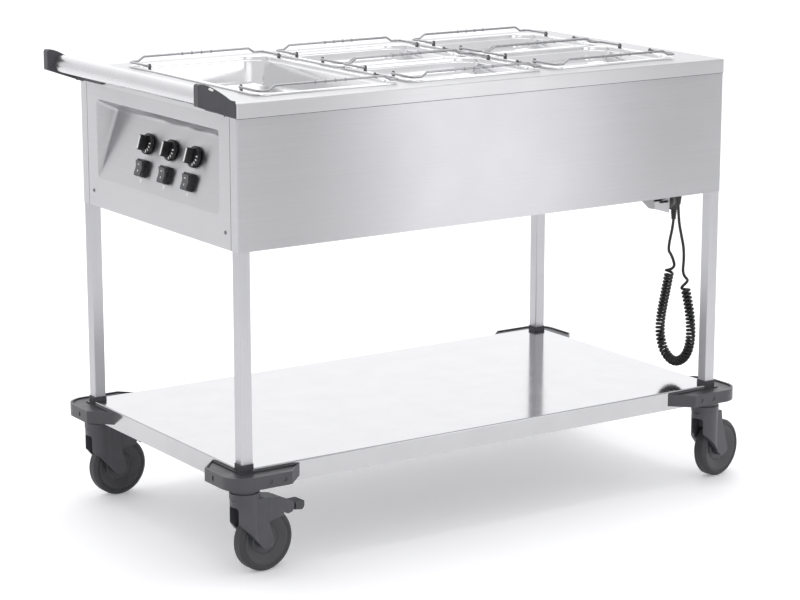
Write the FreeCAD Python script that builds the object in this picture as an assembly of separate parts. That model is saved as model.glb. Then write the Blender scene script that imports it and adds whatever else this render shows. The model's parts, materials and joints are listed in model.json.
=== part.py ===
import FreeCAD, Part
import math
import os

# Mobile heated serving trolley for food pans, in millimetres.
# X runs along the trolley with the handle at -X, Y runs across it with the operator's right at -Y,
# and Z is up. The origin is on the floor under the middle of the deck.

V = FreeCAD.Vector
X_AXIS = V(1, 0, 0)
Y_AXIS = V(0, 1, 0)
Z_AXIS = V(0, 0, 1)

# ---- driving dimensions ------------------------------------------------------------------------

# deck and housing
deck_length = 1188.0
deck_depth = 642.0
deck_height = 920.0
deck_band = 29.0
deck_sheet = 1.5
deck_corner_radius = 4.0
deck_edge_radius = 3.0
band_gap = 0.3
housing_drop = 283.0
shell_sheet = 1.0
base_sheet = 1.0
base_lip = 16.0
fit_gap = 0.3

# legs and lower shelf
leg_side = 25.0
leg_wall = 1.5
leg_corner_radius = 2.0
castor_height = 182.0
shelf_rise = 31.0
shelf_apron = 40.0
shelf_sheet = 1.2
shelf_edge_radius = 2.5
shelf_return = 12.0
shelf_corner_gap = 2.0

# corner bumpers
bumper_height = 26.0
bumper_reach = 42.0
bumper_arm_x = 130.0
bumper_arm_y = 112.0
bumper_corner_radius = 47.0
bumper_edge_radius = 3.0
bumper_rim = 5.0
bumper_tray_depth = 2.5
collar_wall = 2.0
collar_rise = 40.0
bumper_slot = (5.0, 10.0)
bumper_dimple_radius = 5.0
bumper_dimple_depth = 1.2

# food wells and their heaters
deck_end_margin = 69.0
well_length = 510.0
well_depth = 205.0
well_corner_radius = 46.0
well_floor_radius = 12.0
well_sheet = 1.0
well_flange = 12.0
heater_thickness = 8.0
heater_inset = 34.0
heater_corner_radius = 20.0
terminal_size = (24.0, 40.0, 14.0)

# food pans
pan_spacing = 25.0
pan_seat = 10.0
full_pan_depth = 65.0
half_pan_depth = 40.0
pan_rim = 12.0
pan_rim_height = 4.0
pan_rim_radius = 26.0
pan_corner_radius = 44.0
pan_taper = 6.0
pan_floor_radius = 14.0
pan_sheet = 1.0
half_pan_gap = 0.6

# wire bails of the pans
bail_wire = 5.0
bail_inset = 3.5
bail_lift = 6.0
bail_pivot_from_end = 81.0
bail_reach = 77.5
bail_pin = 7.5
bail_pin_bend = 4.5
bail_corner_bend = 9.0
bail_foot = 21.0
bail_step_width = 13.0
bail_step_height = 8.5
bail_step_bend = 5.0
bail_rib_count = 4
bail_rib_pitch = 23.0
bail_rib_width = 2.5
bail_rib_height = 0.7
bail_sides = 6
lug_thickness = 3.0
lug_width = 9.0
pivot_clearance = 0.05

# control panel
panel_sheet = 1.2
panel_gap = 1.2
recess_half_width = 250.0
recess_rise = 62.0
recess_span = 163.0
recess_depth = 42.0
recess_ceiling_drop = 22.0
recess_draft = 15.0
recess_inner_radius = 9.0
recess_mouth_radius = 2.5
controls_centre_y = -20.0
controls_pitch = 95.0
knob_row = 94.0
switch_row = 44.0

# thermostat knobs
knob_radius = 21.5
knob_disc_top = 9.0
knob_lift = 1.0
knob_height = 26.0
knob_grip_width = 13.0
knob_grip_radius = 4.0
knob_edge = 1.5
knob_bore_depth = 18.0
spindle_radius = 3.0
bush_radius = 5.0
bush_height = 1.0
thermostat_body = (40.0, 40.0, 26.0)

# rocker switches
switch_width = 32.0
switch_length = 34.0
switch_frame_height = 14.0
switch_flange = 1.5
switch_wall = 2.5
switch_body_depth = 20.0
rocker_height = 22.0
rocker_gap = 0.5
rocker_axis_height = 10.0
rocker_tilt = 5.0
rocker_dish = 2.5
rocker_pin_radius = 1.5
rocker_pin_length = 1.5

# panel screws
screw_head_radius = 4.0
screw_head_height = 2.2
screw_shank_radius = 2.0
screw_length = 10.0
screw_inset_y = 21.0
screw_rise = 32.0

# push handle
bar_radius = 17.5
bar_wall = 1.5
bar_reach = 48.5
bar_lift = 12.0
bar_socket = 10.0
bar_fit = 0.05
bracket_thickness = 18.0
bracket_end_reach = 79.5
bracket_end_rise = 42.5
bracket_end_lift = 0.5
bracket_root_rise = 4.5
bracket_crown = 2.0
bracket_nose_radius = 5.0
bracket_flange_length = 91.0
bracket_flange_thickness = 7.0

# swivel castors
wheel_radius = 62.5
wheel_width = 32.0
tread_radius = 7.0
tyre_depth = 13.0
rim_width = 27.0
web_thickness = 15.0
hub_radius = 15.0
groove_width = 3.0
groove_depth = 1.5
castor_trail = 42.0
axle_radius = 4.0
axle_head_radius = 8.0
axle_head_depth = 2.5
fork_head_radius = 29.0
fork_head_top = 152.7
fork_nose_height = 110.0
fork_nose_slant = (12.0, 11.0)
fork_width = 48.0
fork_slot = 36.0
fork_slot_gap = 4.0
fork_tip_radius = 13.5
fork_notch_width = 30.0
fork_notch_top = 139.0
hood_top_mid = (72.0, 146.0)
hood_end = (100.0, 118.0)
hood_end_radius = 10.0
hood_end_width = 27.0
hood_root = (40.0, 103.0)
ring_radius = 30.0
ring_gap = 0.3
ring_height = 13.0
neck_radius = 27.0
kingpin_radius = 8.0
kingpin_bottom = 141.0
stem_length = 60.0
stem_clearance = 0.2
pedal_slot = 14.0
pedal_gap = 0.4
pedal_clearance = 3.0
pedal_boss_radius = 7.5
pedal_pin_radius = 2.5
pedal_pin_length = 4.0
pedal_end = 136.5
pedal_width = 27.0
pedal_thickness = 18.0
castor_angles = {
    ("front", "left"): 5.0,
    ("front", "right"): 12.0,
    ("rear", "left"): 1.0,
    ("rear", "right"): 8.0,
}

# mains plug, its parking bracket and the cable gland
park_inset = 44.2
park_sheet = 1.5
park_near = -205.0
park_fold_y = -157.0
park_far_y = -92.0
park_far_back = 20.0
park_flange = 24.0
park_drop = 60.0
park_chamfer = (-142.0, 0.82)
plug_y = -186.0
plug_drop = 37.0
plug_radius = 19.0
plug_thickness = 20.0
plug_outlet_reach = 30.0
plug_outlet_radius = 10.0
plug_outlet_drop = 19.0
plug_tail_top_radius = 7.5
plug_tail_bottom_radius = 5.0
plug_tail_length = 24.0
plug_tail_rings = 4
plug_tail_groove = 1.6
plug_tail_core = 4.2
plug_back_step = 4.0
plug_pin_radius = 2.4
plug_pin_length = 19.0
plug_pin_spacing = 19.0
gland_inset = 43.2
gland_y = -235.0
gland_nut_radius = 12.0
gland_nut_height = 7.0
gland_dome_radius = 9.0
gland_tip_radius = 5.0
gland_length = 37.0
gland_bushing_radius = 8.0
gland_bushing_height = 12.0

# curly mains cord
cord_diameter = 6.4
curl_radius = 7.8
curl_turns = 52
curl_steps_per_turn = 2
curl_end_rate = 5.0
cord_sides = 6
plug_lead = [
    (578.0, -186.0, 557.0),
    (577.0, -184.5, 536.0),
    (573.0, -181.0, 511.0),
    (569.0, -181.5, 487.0),
]
coil_axis = [
    (568.0, -193.0, 462.0),
    (568.0, -178.0, 400.0),
    (568.0, -162.0, 338.0),
    (568.0, -160.0, 296.0),
    (568.0, -176.0, 258.0),
    (568.0, -213.0, 241.0),
    (568.0, -251.0, 262.0),
    (568.0, -266.0, 304.0),
    (568.0, -262.0, 355.0),
    (568.0, -249.0, 398.0),
    (568.0, -236.0, 434.0),
]
gland_lead = [
    (569.5, -234.0, 472.0),
    (561.0, -243.0, 504.0),
    (555.0, -240.0, 534.0),
    (550.0, -236.0, 566.0),
    (549.0, -235.0, 600.0),
]

# ---- sizes worked out from the driving dimensions ----------------------------------------------

ENDS = {"left": -1, "right": 1}
SIDES = {"front": -1, "rear": 1}
CORNERS = [(side, end) for side in SIDES for end in ENDS]
WELLS = {"left": -1, "middle": 0, "right": 1}

housing_length = deck_length - 2 * (deck_sheet + band_gap)
housing_depth = deck_depth - 2 * (deck_sheet + band_gap)
half_length = housing_length / 2
half_depth = housing_depth / 2
deck_underside = deck_height - deck_sheet
housing_bottom = deck_height - housing_drop
housing_top = deck_underside - (deck_edge_radius - deck_sheet)
leg_bottom = bumper_bottom = castor_height
shelf_height = castor_height + shelf_rise
collar_top = castor_height + collar_rise
stem_top = castor_height + stem_length
recess_bottom = housing_bottom + recess_rise
recess_top = recess_bottom + recess_span
screw_height = housing_bottom + screw_rise
bar_height = deck_height + bar_lift
ring_bottom = fork_head_top + ring_gap
ring_top = ring_bottom + ring_height
leg_x = half_length - shell_sheet - leg_side / 2
leg_y = half_depth - shell_sheet - leg_side / 2
end_face = -half_length
panel_half_width = half_depth - shell_sheet - leg_side - panel_gap
pan_rim_top = deck_height + pan_rim_height
bail_axis_height = pan_rim_top + bail_lift
bail_radius = bail_wire / 2
slope = math.atan2(recess_depth, recess_top - recess_ceiling_drop - recess_bottom)
face_normal = V(-math.cos(slope), 0, math.sin(slope))
face_up = V(math.sin(slope), 0, math.cos(slope))
well_pitch = (deck_length - 2 * deck_end_margin) / len(WELLS)
pan_width = well_pitch - pan_spacing
full_pan_length = well_length + 2 * pan_seat
half_pan_length = full_pan_length / 2
well_width = pan_width - 2 * pan_seat
bar_x = -deck_length / 2 - bar_reach
bracket_inner_y = deck_depth / 2 - bracket_thickness
park_x = half_length - park_inset
plug_z = housing_bottom - plug_drop
plug_outlet_x = park_x + plug_outlet_reach
plug_outlet_bottom = plug_z - plug_outlet_drop
plug_tail_bottom = plug_outlet_bottom - plug_tail_length
gland_x = half_length - gland_inset
gland_bottom = housing_bottom - gland_length
collar_side = leg_side + 2 * collar_wall
cord_radius = cord_diameter / 2

WELL_X = {name: place * well_pitch for name, place in WELLS.items()}

# ---- helpers -----------------------------------------------------------------------------------


def box(x0, x1, y0, y1, z0, z1):
    return Part.makeBox(x1 - x0, y1 - y0, z1 - z0, V(x0, y0, z0))


def cylinder(radius, start, end):
    start, end = V(*start), V(*end)
    return Part.makeCylinder(radius, (end - start).Length, start, end - start)


def fuse(first, *others):
    return first.fuse(list(others)).removeSplitter()


def cut(first, *others):
    return first.cut(list(others))


def group(solids):
    return Part.makeCompound(solids)


def rounded_path(points, radii, closed=False):
    """A wire of straight runs with an arc of the given radius at each corner; 0 leaves it sharp."""
    points = [V(*p) for p in points]
    count = len(points)
    starts, ends, arcs = {}, {}, {}
    for i in range(count):
        at_end = i in (0, count - 1) and not closed
        radius = 0 if at_end else radii[i]
        if not radius:
            starts[i] = ends[i] = points[i]
            continue
        back = (points[i - 1] - points[i]).normalize()
        ahead = (points[(i + 1) % count] - points[i]).normalize()
        half = back.getAngle(ahead) / 2
        reach = radius / math.tan(half)
        middle = (back + ahead).normalize()
        ends[i] = points[i] + back * reach
        starts[i] = points[i] + ahead * reach
        top = points[i] + middle * (radius / math.sin(half) - radius)
        arcs[i] = Part.Arc(ends[i], top, starts[i]).toShape()
    edges = []
    for i in range(count):
        if i in arcs:
            edges.append(arcs[i])
        following = (i + 1) % count
        if following == 0 and not closed:
            break
        if (ends[following] - starts[i]).Length > 1e-6:
            edges.append(Part.LineSegment(starts[i], ends[following]).toShape())
    return Part.Wire(edges)


def plan_prism(outline, z0, z1):
    """Extrude (x, y, corner radius) points upwards."""
    points = [(x, y, z0) for x, y, _ in outline]
    wire = rounded_path(points, [r for _, _, r in outline], closed=True)
    return Part.Face(wire).extrude(V(0, 0, z1 - z0))


def side_prism(outline, y0, y1):
    """Extrude (x, z, corner radius) points across the trolley."""
    points = [(x, y0, z) for x, z, _ in outline]
    wire = rounded_path(points, [r for _, _, r in outline], closed=True)
    return Part.Face(wire).extrude(V(0, y1 - y0, 0))


def rectangle(length, depth, radius, x=0.0, y=0.0):
    a, b = length / 2, depth / 2
    return [(x - a, y - b, radius), (x + a, y - b, radius), (x + a, y + b, radius), (x - a, y + b, radius)]


def rounded_plate(length, depth, radius, z0, z1, x=0.0, y=0.0):
    return plan_prism(rectangle(length, depth, radius, x, y), z0, z1)


def tub(length, depth, radius, z_top, z_bottom, taper, floor_radius, x, y):
    """A solid block that narrows downwards, its floor edge turned in two slants."""
    wires = []
    turn = 1 - math.sqrt(0.5)
    levels = [
        (z_top, 0.0),
        (z_bottom + floor_radius, taper),
        (z_bottom + floor_radius * turn, taper + floor_radius * turn),
        (z_bottom, taper + floor_radius),
    ]
    for z, inset in levels:
        outline = rectangle(length - 2 * inset, depth - 2 * inset, radius - inset, x, y)
        points = [(px, py, z) for px, py, _ in outline]
        wires.append(rounded_path(points, [r for _, _, r in outline], closed=True))
    return Part.makeLoft(wires, True, True)


def edges_where(shape, test):
    return [e for e in shape.Edges if test(e.BoundBox)]


def revolve(profile, centre, axis):
    """Turn (radius, height) points about an axis through the centre."""
    side = X_AXIS if abs(axis.dot(X_AXIS)) < 0.5 else Z_AXIS
    points = [centre + side * r + axis * h for r, h in profile]
    face = Part.Face(Part.makePolygon(points + [points[0]]))
    return face.revolve(centre, axis, 360)


def ring_section(centre, direction, radius, sides):
    """A regular polygon square to a direction, its corners at the radius."""
    reference = X_AXIS if abs(direction.dot(X_AXIS)) < 0.9 else Z_AXIS
    across = direction.cross(reference).normalize()
    up = direction.cross(across).normalize()
    points = []
    for i in range(sides):
        angle = 2 * math.pi * (i + 0.5) / sides
        points.append(centre + across * (radius * math.cos(angle)) + up * (radius * math.sin(angle)))
    return Part.makePolygon(points + [points[0]])


def polygon_area(radius, sides):
    return sides / 2 * radius**2 * math.sin(2 * math.pi / sides)


def sweep(wire, start, direction, radius, sides):
    """Run a polygonal section along a wire of lines and arcs."""
    section = ring_section(V(*start), V(*direction), radius, sides)
    return wire.makePipeShell([section], True, False)


# ---- deck and housing --------------------------------------------------------------------------


def top_deck():
    bottom = deck_height - deck_band
    outer = rounded_plate(deck_length, deck_depth, deck_corner_radius, bottom, deck_height)
    outer = outer.makeFillet(deck_edge_radius, edges_where(outer, lambda b: b.ZMin > deck_height - 0.01))
    inner = rounded_plate(
        deck_length - 2 * deck_sheet,
        deck_depth - 2 * deck_sheet,
        deck_corner_radius - deck_sheet,
        bottom,
        deck_underside,
    )
    inner_edge = edges_where(inner, lambda b: b.ZMin > deck_underside - 0.01)
    inner = inner.makeFillet(deck_edge_radius - deck_sheet, inner_edge)
    holes = [
        rounded_plate(well_width, well_length, well_corner_radius, bottom, deck_height, x)
        for x in WELL_X.values()
    ]
    return cut(outer, inner, *holes)


def housing_shell():
    """One sheet bent round the front, the right end and the rear, with a corner strip at the left end."""
    outer = rounded_plate(housing_length, housing_depth, leg_corner_radius, housing_bottom, housing_top)
    inner = rounded_plate(
        housing_length - 2 * shell_sheet,
        housing_depth - 2 * shell_sheet,
        leg_corner_radius - shell_sheet,
        housing_bottom,
        housing_top,
    )
    strip = half_depth - shell_sheet - leg_side
    mouth = box(end_face, end_face + shell_sheet, -strip, strip, housing_bottom, housing_top)
    return cut(outer, inner, mouth)


def leg_notches(z0, z1, side, clearance=0.0):
    reach = side + clearance
    notches = []
    for end in ENDS.values():
        for across in SIDES.values():
            x0, x1 = sorted((end * half_length, end * (half_length - reach)))
            y0, y1 = sorted((across * half_depth, across * (half_depth - reach)))
            notches.append(box(x0, x1, y0, y1, z0, z1))
    return notches


def base_panel():
    """A shallow tray that closes the housing from below, cut out round the legs."""
    length = housing_length - 2 * (shell_sheet + fit_gap)
    depth = housing_depth - 2 * (shell_sheet + fit_gap)
    top = housing_bottom + base_lip
    outer = box(-length / 2, length / 2, -depth / 2, depth / 2, housing_bottom, top)
    inner = box(
        -length / 2 + base_sheet,
        length / 2 - base_sheet,
        -depth / 2 + base_sheet,
        depth / 2 - base_sheet,
        housing_bottom + base_sheet,
        top,
    )
    tray = cut(outer, inner, *leg_notches(housing_bottom, top, leg_side + shell_sheet, fit_gap))
    bushing = gland_bushing_radius + pivot_clearance
    gland_hole = cylinder(bushing, (gland_x, gland_y, housing_bottom), (gland_x, gland_y, top))
    return cut(tray, gland_hole)


def legs():
    tubes = []
    for end in ENDS.values():
        for across in SIDES.values():
            place = (end * leg_x, across * leg_y)
            outer = rounded_plate(leg_side, leg_side, leg_corner_radius, leg_bottom, deck_underside, *place)
            bore = leg_side - 2 * leg_wall
            inner = rounded_plate(
                bore, bore, leg_corner_radius - leg_wall, leg_bottom, deck_underside, *place
            )
            tubes.append(cut(outer, inner))
    return group(tubes)


# ---- lower shelf and bumpers -------------------------------------------------------------------


def lower_shelf():
    bottom = shelf_height - shelf_apron
    outer = box(-half_length, half_length, -half_depth, half_depth, bottom, shelf_height)
    outer = outer.makeFillet(shelf_edge_radius, edges_where(outer, lambda b: b.ZMin > shelf_height - 0.01))
    wall = shelf_sheet
    inner = box(
        -half_length + wall,
        half_length - wall,
        -half_depth + wall,
        half_depth - wall,
        bottom + wall,
        shelf_height - wall,
    )
    inner_top = edges_where(inner, lambda b: b.ZMin > shelf_height - wall - 0.01)
    inner = inner.makeFillet(shelf_edge_radius - wall, inner_top)
    mouth = box(
        -half_length + shelf_return,
        half_length - shelf_return,
        -half_depth + shelf_return,
        half_depth - shelf_return,
        bottom,
        bottom + wall,
    )
    notch = shell_sheet + leg_side + collar_wall
    ring_room = half_length - leg_x + ring_radius + shelf_corner_gap
    corners = leg_notches(bottom, shelf_height, notch)
    corners += leg_notches(bottom, bumper_bottom, ring_room)
    return cut(outer, inner, mouth, *corners)


def bumper_outline(end, across, inset=0.0):
    """Plan of one bumper; the outline is drawn for the +X +Y corner and mirrored by the signs."""
    reach = bumper_reach - inset
    x_root = half_length - bumper_arm_x
    y_root = half_depth - bumper_arm_y
    corner = bumper_corner_radius - inset
    points = [
        (x_root + inset * 1.4, half_depth + inset, 0.0),
        (x_root + bumper_reach, half_depth + reach, bumper_edge_radius),
        (half_length + reach, half_depth + reach, corner),
        (half_length + reach, y_root + bumper_reach, bumper_edge_radius),
        (half_length + inset, y_root + inset * 1.4, 0.0),
        (half_length + inset, half_depth + inset, 0.0),
    ]
    return [(end * x, across * y, r) for x, y, r in points]


def bumper(side, end):
    """Moulded corner guard: an L with slanted ends, a shallow tray on top and a collar for the leg."""
    along, across = ENDS[end], SIDES[side]
    top = bumper_bottom + bumper_height
    body = plan_prism(bumper_outline(along, across), bumper_bottom, top)
    tray = plan_prism(bumper_outline(along, across, bumper_rim), top - bumper_tray_depth, top)
    body = cut(body, tray)
    place = (along * leg_x, across * leg_y)
    collar = rounded_plate(
        collar_side, collar_side, leg_corner_radius + collar_wall, bumper_bottom, collar_top, *place
    )
    bore = rounded_plate(leg_side, leg_side, leg_corner_radius, bumper_bottom, collar_top, *place)
    body = cut(fuse(body, collar), bore)
    slot_width, slot_height = bumper_slot
    mid = bumper_bottom + bumper_height / 2
    outer_x, outer_y = half_length + bumper_reach, half_depth + bumper_reach
    slot_y = across * (half_depth - bumper_arm_y / 3)
    slot_x = sorted((along * outer_x, along * (outer_x - bumper_rim)))
    slot = box(
        slot_x[0],
        slot_x[1],
        slot_y - slot_width / 2,
        slot_y + slot_width / 2,
        mid - slot_height / 2,
        mid + slot_height / 2,
    )
    dimples = []
    for share in (0.3, 0.55):
        x = along * (half_length - bumper_arm_x * share)
        start = (x, across * (outer_y - bumper_dimple_depth), mid)
        dimples.append(cylinder(bumper_dimple_radius, start, (x, across * (outer_y + 1.0), mid)))
    return cut(body, slot, *dimples)


# ---- wells and heaters -------------------------------------------------------------------------


def wells():
    solids = []
    bottom = deck_underside - well_depth
    for x in WELL_X.values():
        outer = tub(
            well_width + 2 * well_sheet,
            well_length + 2 * well_sheet,
            well_corner_radius + well_sheet,
            deck_underside,
            bottom - well_sheet,
            0.0,
            well_floor_radius + well_sheet,
            x,
            0.0,
        )
        flange = rounded_plate(
            well_width + 2 * well_flange,
            well_length + 2 * well_flange,
            well_corner_radius + well_flange,
            deck_underside - well_sheet,
            deck_underside,
            x,
        )
        inner = tub(
            well_width,
            well_length,
            well_corner_radius,
            deck_underside,
            bottom,
            0.0,
            well_floor_radius,
            x,
            0.0,
        )
        solids.append(cut(fuse(outer, flange), inner))
    return group(solids)


def heater_plates():
    """A flat heating element bonded under each well, with its terminal block."""
    top = deck_underside - well_depth - well_sheet
    bottom = top - heater_thickness
    solids = []
    for x in WELL_X.values():
        plate = rounded_plate(
            well_width - 2 * heater_inset,
            well_length - 2 * heater_inset,
            heater_corner_radius,
            bottom,
            top,
            x,
        )
        width, length, height = terminal_size
        block = rounded_plate(width, length, 3.0, bottom - height, bottom, x)
        solids.append(fuse(plate, block))
    return group(solids)


# ---- food pans and their bails -----------------------------------------------------------------


def pan_lug(x, y):
    """Upright ear on the rim with the bore that a bail swings in."""
    half = lug_width / 2
    x0, x1 = x - lug_thickness / 2, x + lug_thickness / 2
    foot = box(x0, x1, y - half, y + half, pan_rim_top - pan_sheet, bail_axis_height)
    return fuse(foot, cylinder(half, (x0, y, bail_axis_height), (x1, y, bail_axis_height)))


def bail_pivots(pan_length, y):
    """The Y of each bail's pivot, with the direction that its free side lies in."""
    reach = pan_length / 2 - bail_pivot_from_end
    return {"front": (y - reach, -1), "rear": (y + reach, 1)}


def bail_arm_x():
    return pan_width / 2 - bail_inset


def lug_x():
    return bail_arm_x() - bail_pin_bend - lug_thickness / 2


def food_pan(pan_length, pan_depth, x, y):
    rim = rounded_plate(pan_width, pan_length, pan_rim_radius, deck_height, pan_rim_top, x, y)
    hollow = rounded_plate(
        pan_width - 2 * pan_sheet,
        pan_length - 2 * pan_sheet,
        pan_rim_radius - pan_sheet,
        deck_height,
        pan_rim_top - pan_sheet,
        x,
        y,
    )
    width, length = pan_width - 2 * pan_rim, pan_length - 2 * pan_rim
    bottom = pan_rim_top - pan_depth
    outer = tub(width, length, pan_corner_radius, pan_rim_top, bottom, pan_taper, pan_floor_radius, x, y)
    inner = tub(
        width - 2 * pan_sheet,
        length - 2 * pan_sheet,
        pan_corner_radius - pan_sheet,
        pan_rim_top,
        bottom + pan_sheet,
        pan_taper,
        pan_floor_radius - pan_sheet,
        x,
        y,
    )
    pan = fuse(cut(rim, hollow), outer)
    lugs = [pan_lug(x + s * lug_x(), py) for py, _ in bail_pivots(pan_length, y).values() for s in (-1, 1)]
    pan = cut(fuse(pan, *lugs), inner)
    bore = bail_radius + pivot_clearance
    bores = [
        cylinder(
            bore,
            (x + s * (lug_x() - lug_thickness), py, bail_axis_height),
            (x + s * (lug_x() + lug_thickness), py, bail_axis_height),
        )
        for py, _ in bail_pivots(pan_length, y).values()
        for s in (-1, 1)
    ]
    return cut(pan, *bores)


def bail(x, pivot_y, outward):
    """Bent wire handle lying on the rim, its middle raised for the fingers."""
    arm, foot = bail_arm_x(), bail_arm_x() - bail_foot
    step = foot - bail_step_width
    far = bail_reach
    low, high = 0.0, bail_step_height
    half = [
        (arm - bail_pin, 0.0, low, 0.0),
        (arm, 0.0, low, bail_pin_bend),
        (arm, far, low, bail_corner_bend),
        (foot, far, low, bail_step_bend),
        (step, far, high, bail_step_bend),
    ]
    whole = half + [(-u, v, w, r) for u, v, w, r in reversed(half)]
    points = [(x + u, pivot_y + outward * v, bail_axis_height + w) for u, v, w, _ in whole]
    wire = rounded_path(points, [r for _, _, _, r in whole])
    handle = sweep(wire, points[0], X_AXIS, bail_radius, bail_sides)
    extras = []
    for side in (-1, 1):
        tip = (x + side * (arm - bail_pin), pivot_y, bail_axis_height)
        root = (x + side * (arm - bail_pin_bend), pivot_y, bail_axis_height)
        extras.append(cylinder(bail_radius, tip, root))
    for i in range(bail_rib_count):
        rib_x = x + (i - (bail_rib_count - 1) / 2) * bail_rib_pitch
        centre = V(rib_x - bail_rib_width / 2, pivot_y + outward * far, bail_axis_height + high)
        rib = Part.Face(ring_section(centre, X_AXIS, bail_radius + bail_rib_height, bail_sides))
        extras.append(rib.extrude(X_AXIS * bail_rib_width))
    return fuse(handle, *extras)


PANS = {
    "left": (full_pan_length, full_pan_depth, -well_pitch, 0.0),
    "middle_front": (half_pan_length - half_pan_gap, half_pan_depth, 0.0, -half_pan_length / 2),
    "middle_rear": (half_pan_length - half_pan_gap, half_pan_depth, 0.0, half_pan_length / 2),
    "right_front": (half_pan_length - half_pan_gap, half_pan_depth, well_pitch, -half_pan_length / 2),
    "right_rear": (half_pan_length - half_pan_gap, half_pan_depth, well_pitch, half_pan_length / 2),
}


# ---- control panel -----------------------------------------------------------------------------


def on_face(along, y, out=0.0):
    """A point of the sloping control face: its distance up the slope, its Y and its height off it."""
    foot = V(end_face, y, recess_bottom)
    return foot + face_up * along + face_normal * out


def to_face(shape, along, y):
    """Move a piece drawn about the origin, its +Z out of the face and its +X up the slope."""
    across = face_normal.cross(face_up)
    turn = FreeCAD.Rotation(face_up, across, face_normal, "XZY")
    placed = shape.copy()
    placed.Placement = FreeCAD.Placement(on_face(along, y), turn).multiply(placed.Placement)
    return placed


def control_places():
    return {
        "left": controls_centre_y + controls_pitch,
        "middle": controls_centre_y,
        "right": controls_centre_y - controls_pitch,
    }


def recess_wedge(grow, radius):
    """The hollow of the panel, or with a positive growth the block whose skin surrounds it."""
    deep_z = recess_top - recess_ceiling_drop
    wide = recess_half_width + grow
    deep_wide = recess_half_width - recess_draft + grow
    x0, x1 = end_face, end_face + recess_depth + grow
    low, high, deep = recess_bottom - grow * 2, recess_top + grow, deep_z + grow * 0.5
    ends = []
    for s in (-1, 1):
        corners = [V(x0, s * wide, low), V(x0, s * wide, high), V(x1, s * deep_wide, deep)]
        ends.append(Part.makePolygon(corners + corners[:1]))
    wedge = Part.makeLoft(ends, True, True)
    inner = edges_where(wedge, lambda q: q.XMax > x0 + 1.0)
    return wedge.makeFillet(radius, inner)


def on_recess_mouth(b):
    """True for the edges where the recess meets the panel's outer face."""
    flat = b.XMax < end_face + 0.01
    inside = b.YMax < recess_half_width + 0.01 and b.YMin > -recess_half_width - 0.01
    return flat and inside and b.ZMin > recess_bottom - 0.01 and b.ZMax < recess_top + 0.01


def control_panel():
    """Removable end panel, drawn inwards round a sloping face that carries the controls."""
    plate = box(
        end_face,
        end_face + panel_sheet,
        -panel_half_width,
        panel_half_width,
        housing_bottom,
        housing_top,
    )
    skin = recess_wedge(panel_sheet, recess_inner_radius + panel_sheet)
    panel = cut(fuse(plate, skin), recess_wedge(0.0, recess_inner_radius))
    panel = panel.makeFillet(recess_mouth_radius, edges_where(panel, on_recess_mouth))
    holes = []
    for y in control_places().values():
        hole = cylinder(bush_radius + fit_gap, (0, 0, -10), (0, 0, 10))
        holes.append(to_face(hole, knob_row, y))
        trim = switch_wall - 2 * fit_gap
        length, width = switch_length - trim, switch_width - trim
        holes.append(to_face(box(-length / 2, length / 2, -width / 2, width / 2, -10, 10), switch_row, y))
    for y in screw_places():
        start = (end_face - 1.0, y, screw_height)
        holes.append(cylinder(screw_shank_radius + fit_gap, start, (end_face + 5.0, y, screw_height)))
    return cut(panel, *holes)


def screw_places():
    return [s * (panel_half_width - screw_inset_y) for s in (-1, 1)]


def panel_screws():
    solids = []
    for y in screw_places():
        head_out = V(end_face - screw_head_height, y, screw_height)
        head = Part.makeSphere(
            screw_head_radius * 1.4,
            V(end_face + screw_head_radius * 1.4 - screw_head_height, y, screw_height),
        )
        head = head.common(
            cylinder(screw_head_radius, (head_out.x, y, screw_height), (end_face, y, screw_height))
        )
        shank = cylinder(
            screw_shank_radius, (end_face, y, screw_height), (end_face + screw_length, y, screw_height)
        )
        slot = box(
            head_out.x,
            head_out.x + 1.0,
            y - screw_head_radius,
            y + screw_head_radius,
            screw_height - 0.5,
            screw_height + 0.5,
        )
        solids.append(cut(fuse(head, shank), slot))
    return group(solids)


def thermostats():
    """Bodies behind the panel, each with its bush through the face and a spindle for the knob."""
    solids = []
    length, width, depth = thermostat_body
    for y in control_places().values():
        body = box(-length / 2, length / 2, -width / 2, width / 2, -panel_sheet - depth, -panel_sheet)
        bush = cylinder(bush_radius, (0, 0, -panel_sheet - 1.0), (0, 0, bush_height))
        spindle = cylinder(spindle_radius, (0, 0, 0), (0, 0, knob_lift + knob_bore_depth - 1.0))
        solids.append(to_face(fuse(body, bush, spindle), knob_row, y))
    return group(solids)


def knob(y):
    """Round skirt with an upright grip bar across it."""
    profile = [
        (0, knob_lift),
        (knob_radius, knob_lift),
        (knob_radius, knob_disc_top - knob_edge),
        (knob_radius - knob_edge, knob_disc_top),
        (0, knob_disc_top),
    ]
    skirt = revolve(profile, V(0, 0, 0), Z_AXIS)
    grip_length = 2 * (knob_radius - knob_edge)
    grip = rounded_plate(
        grip_length, knob_grip_width, knob_grip_radius, knob_disc_top - knob_edge, knob_height
    )
    body = fuse(skirt, grip)
    bore = cylinder(
        spindle_radius + pivot_clearance, (0, 0, knob_lift), (0, 0, knob_lift + knob_bore_depth)
    )
    relief = cylinder(bush_radius + fit_gap, (0, 0, knob_lift), (0, 0, bush_height + fit_gap))
    return to_face(cut(body, bore, relief), knob_row, y)


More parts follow.
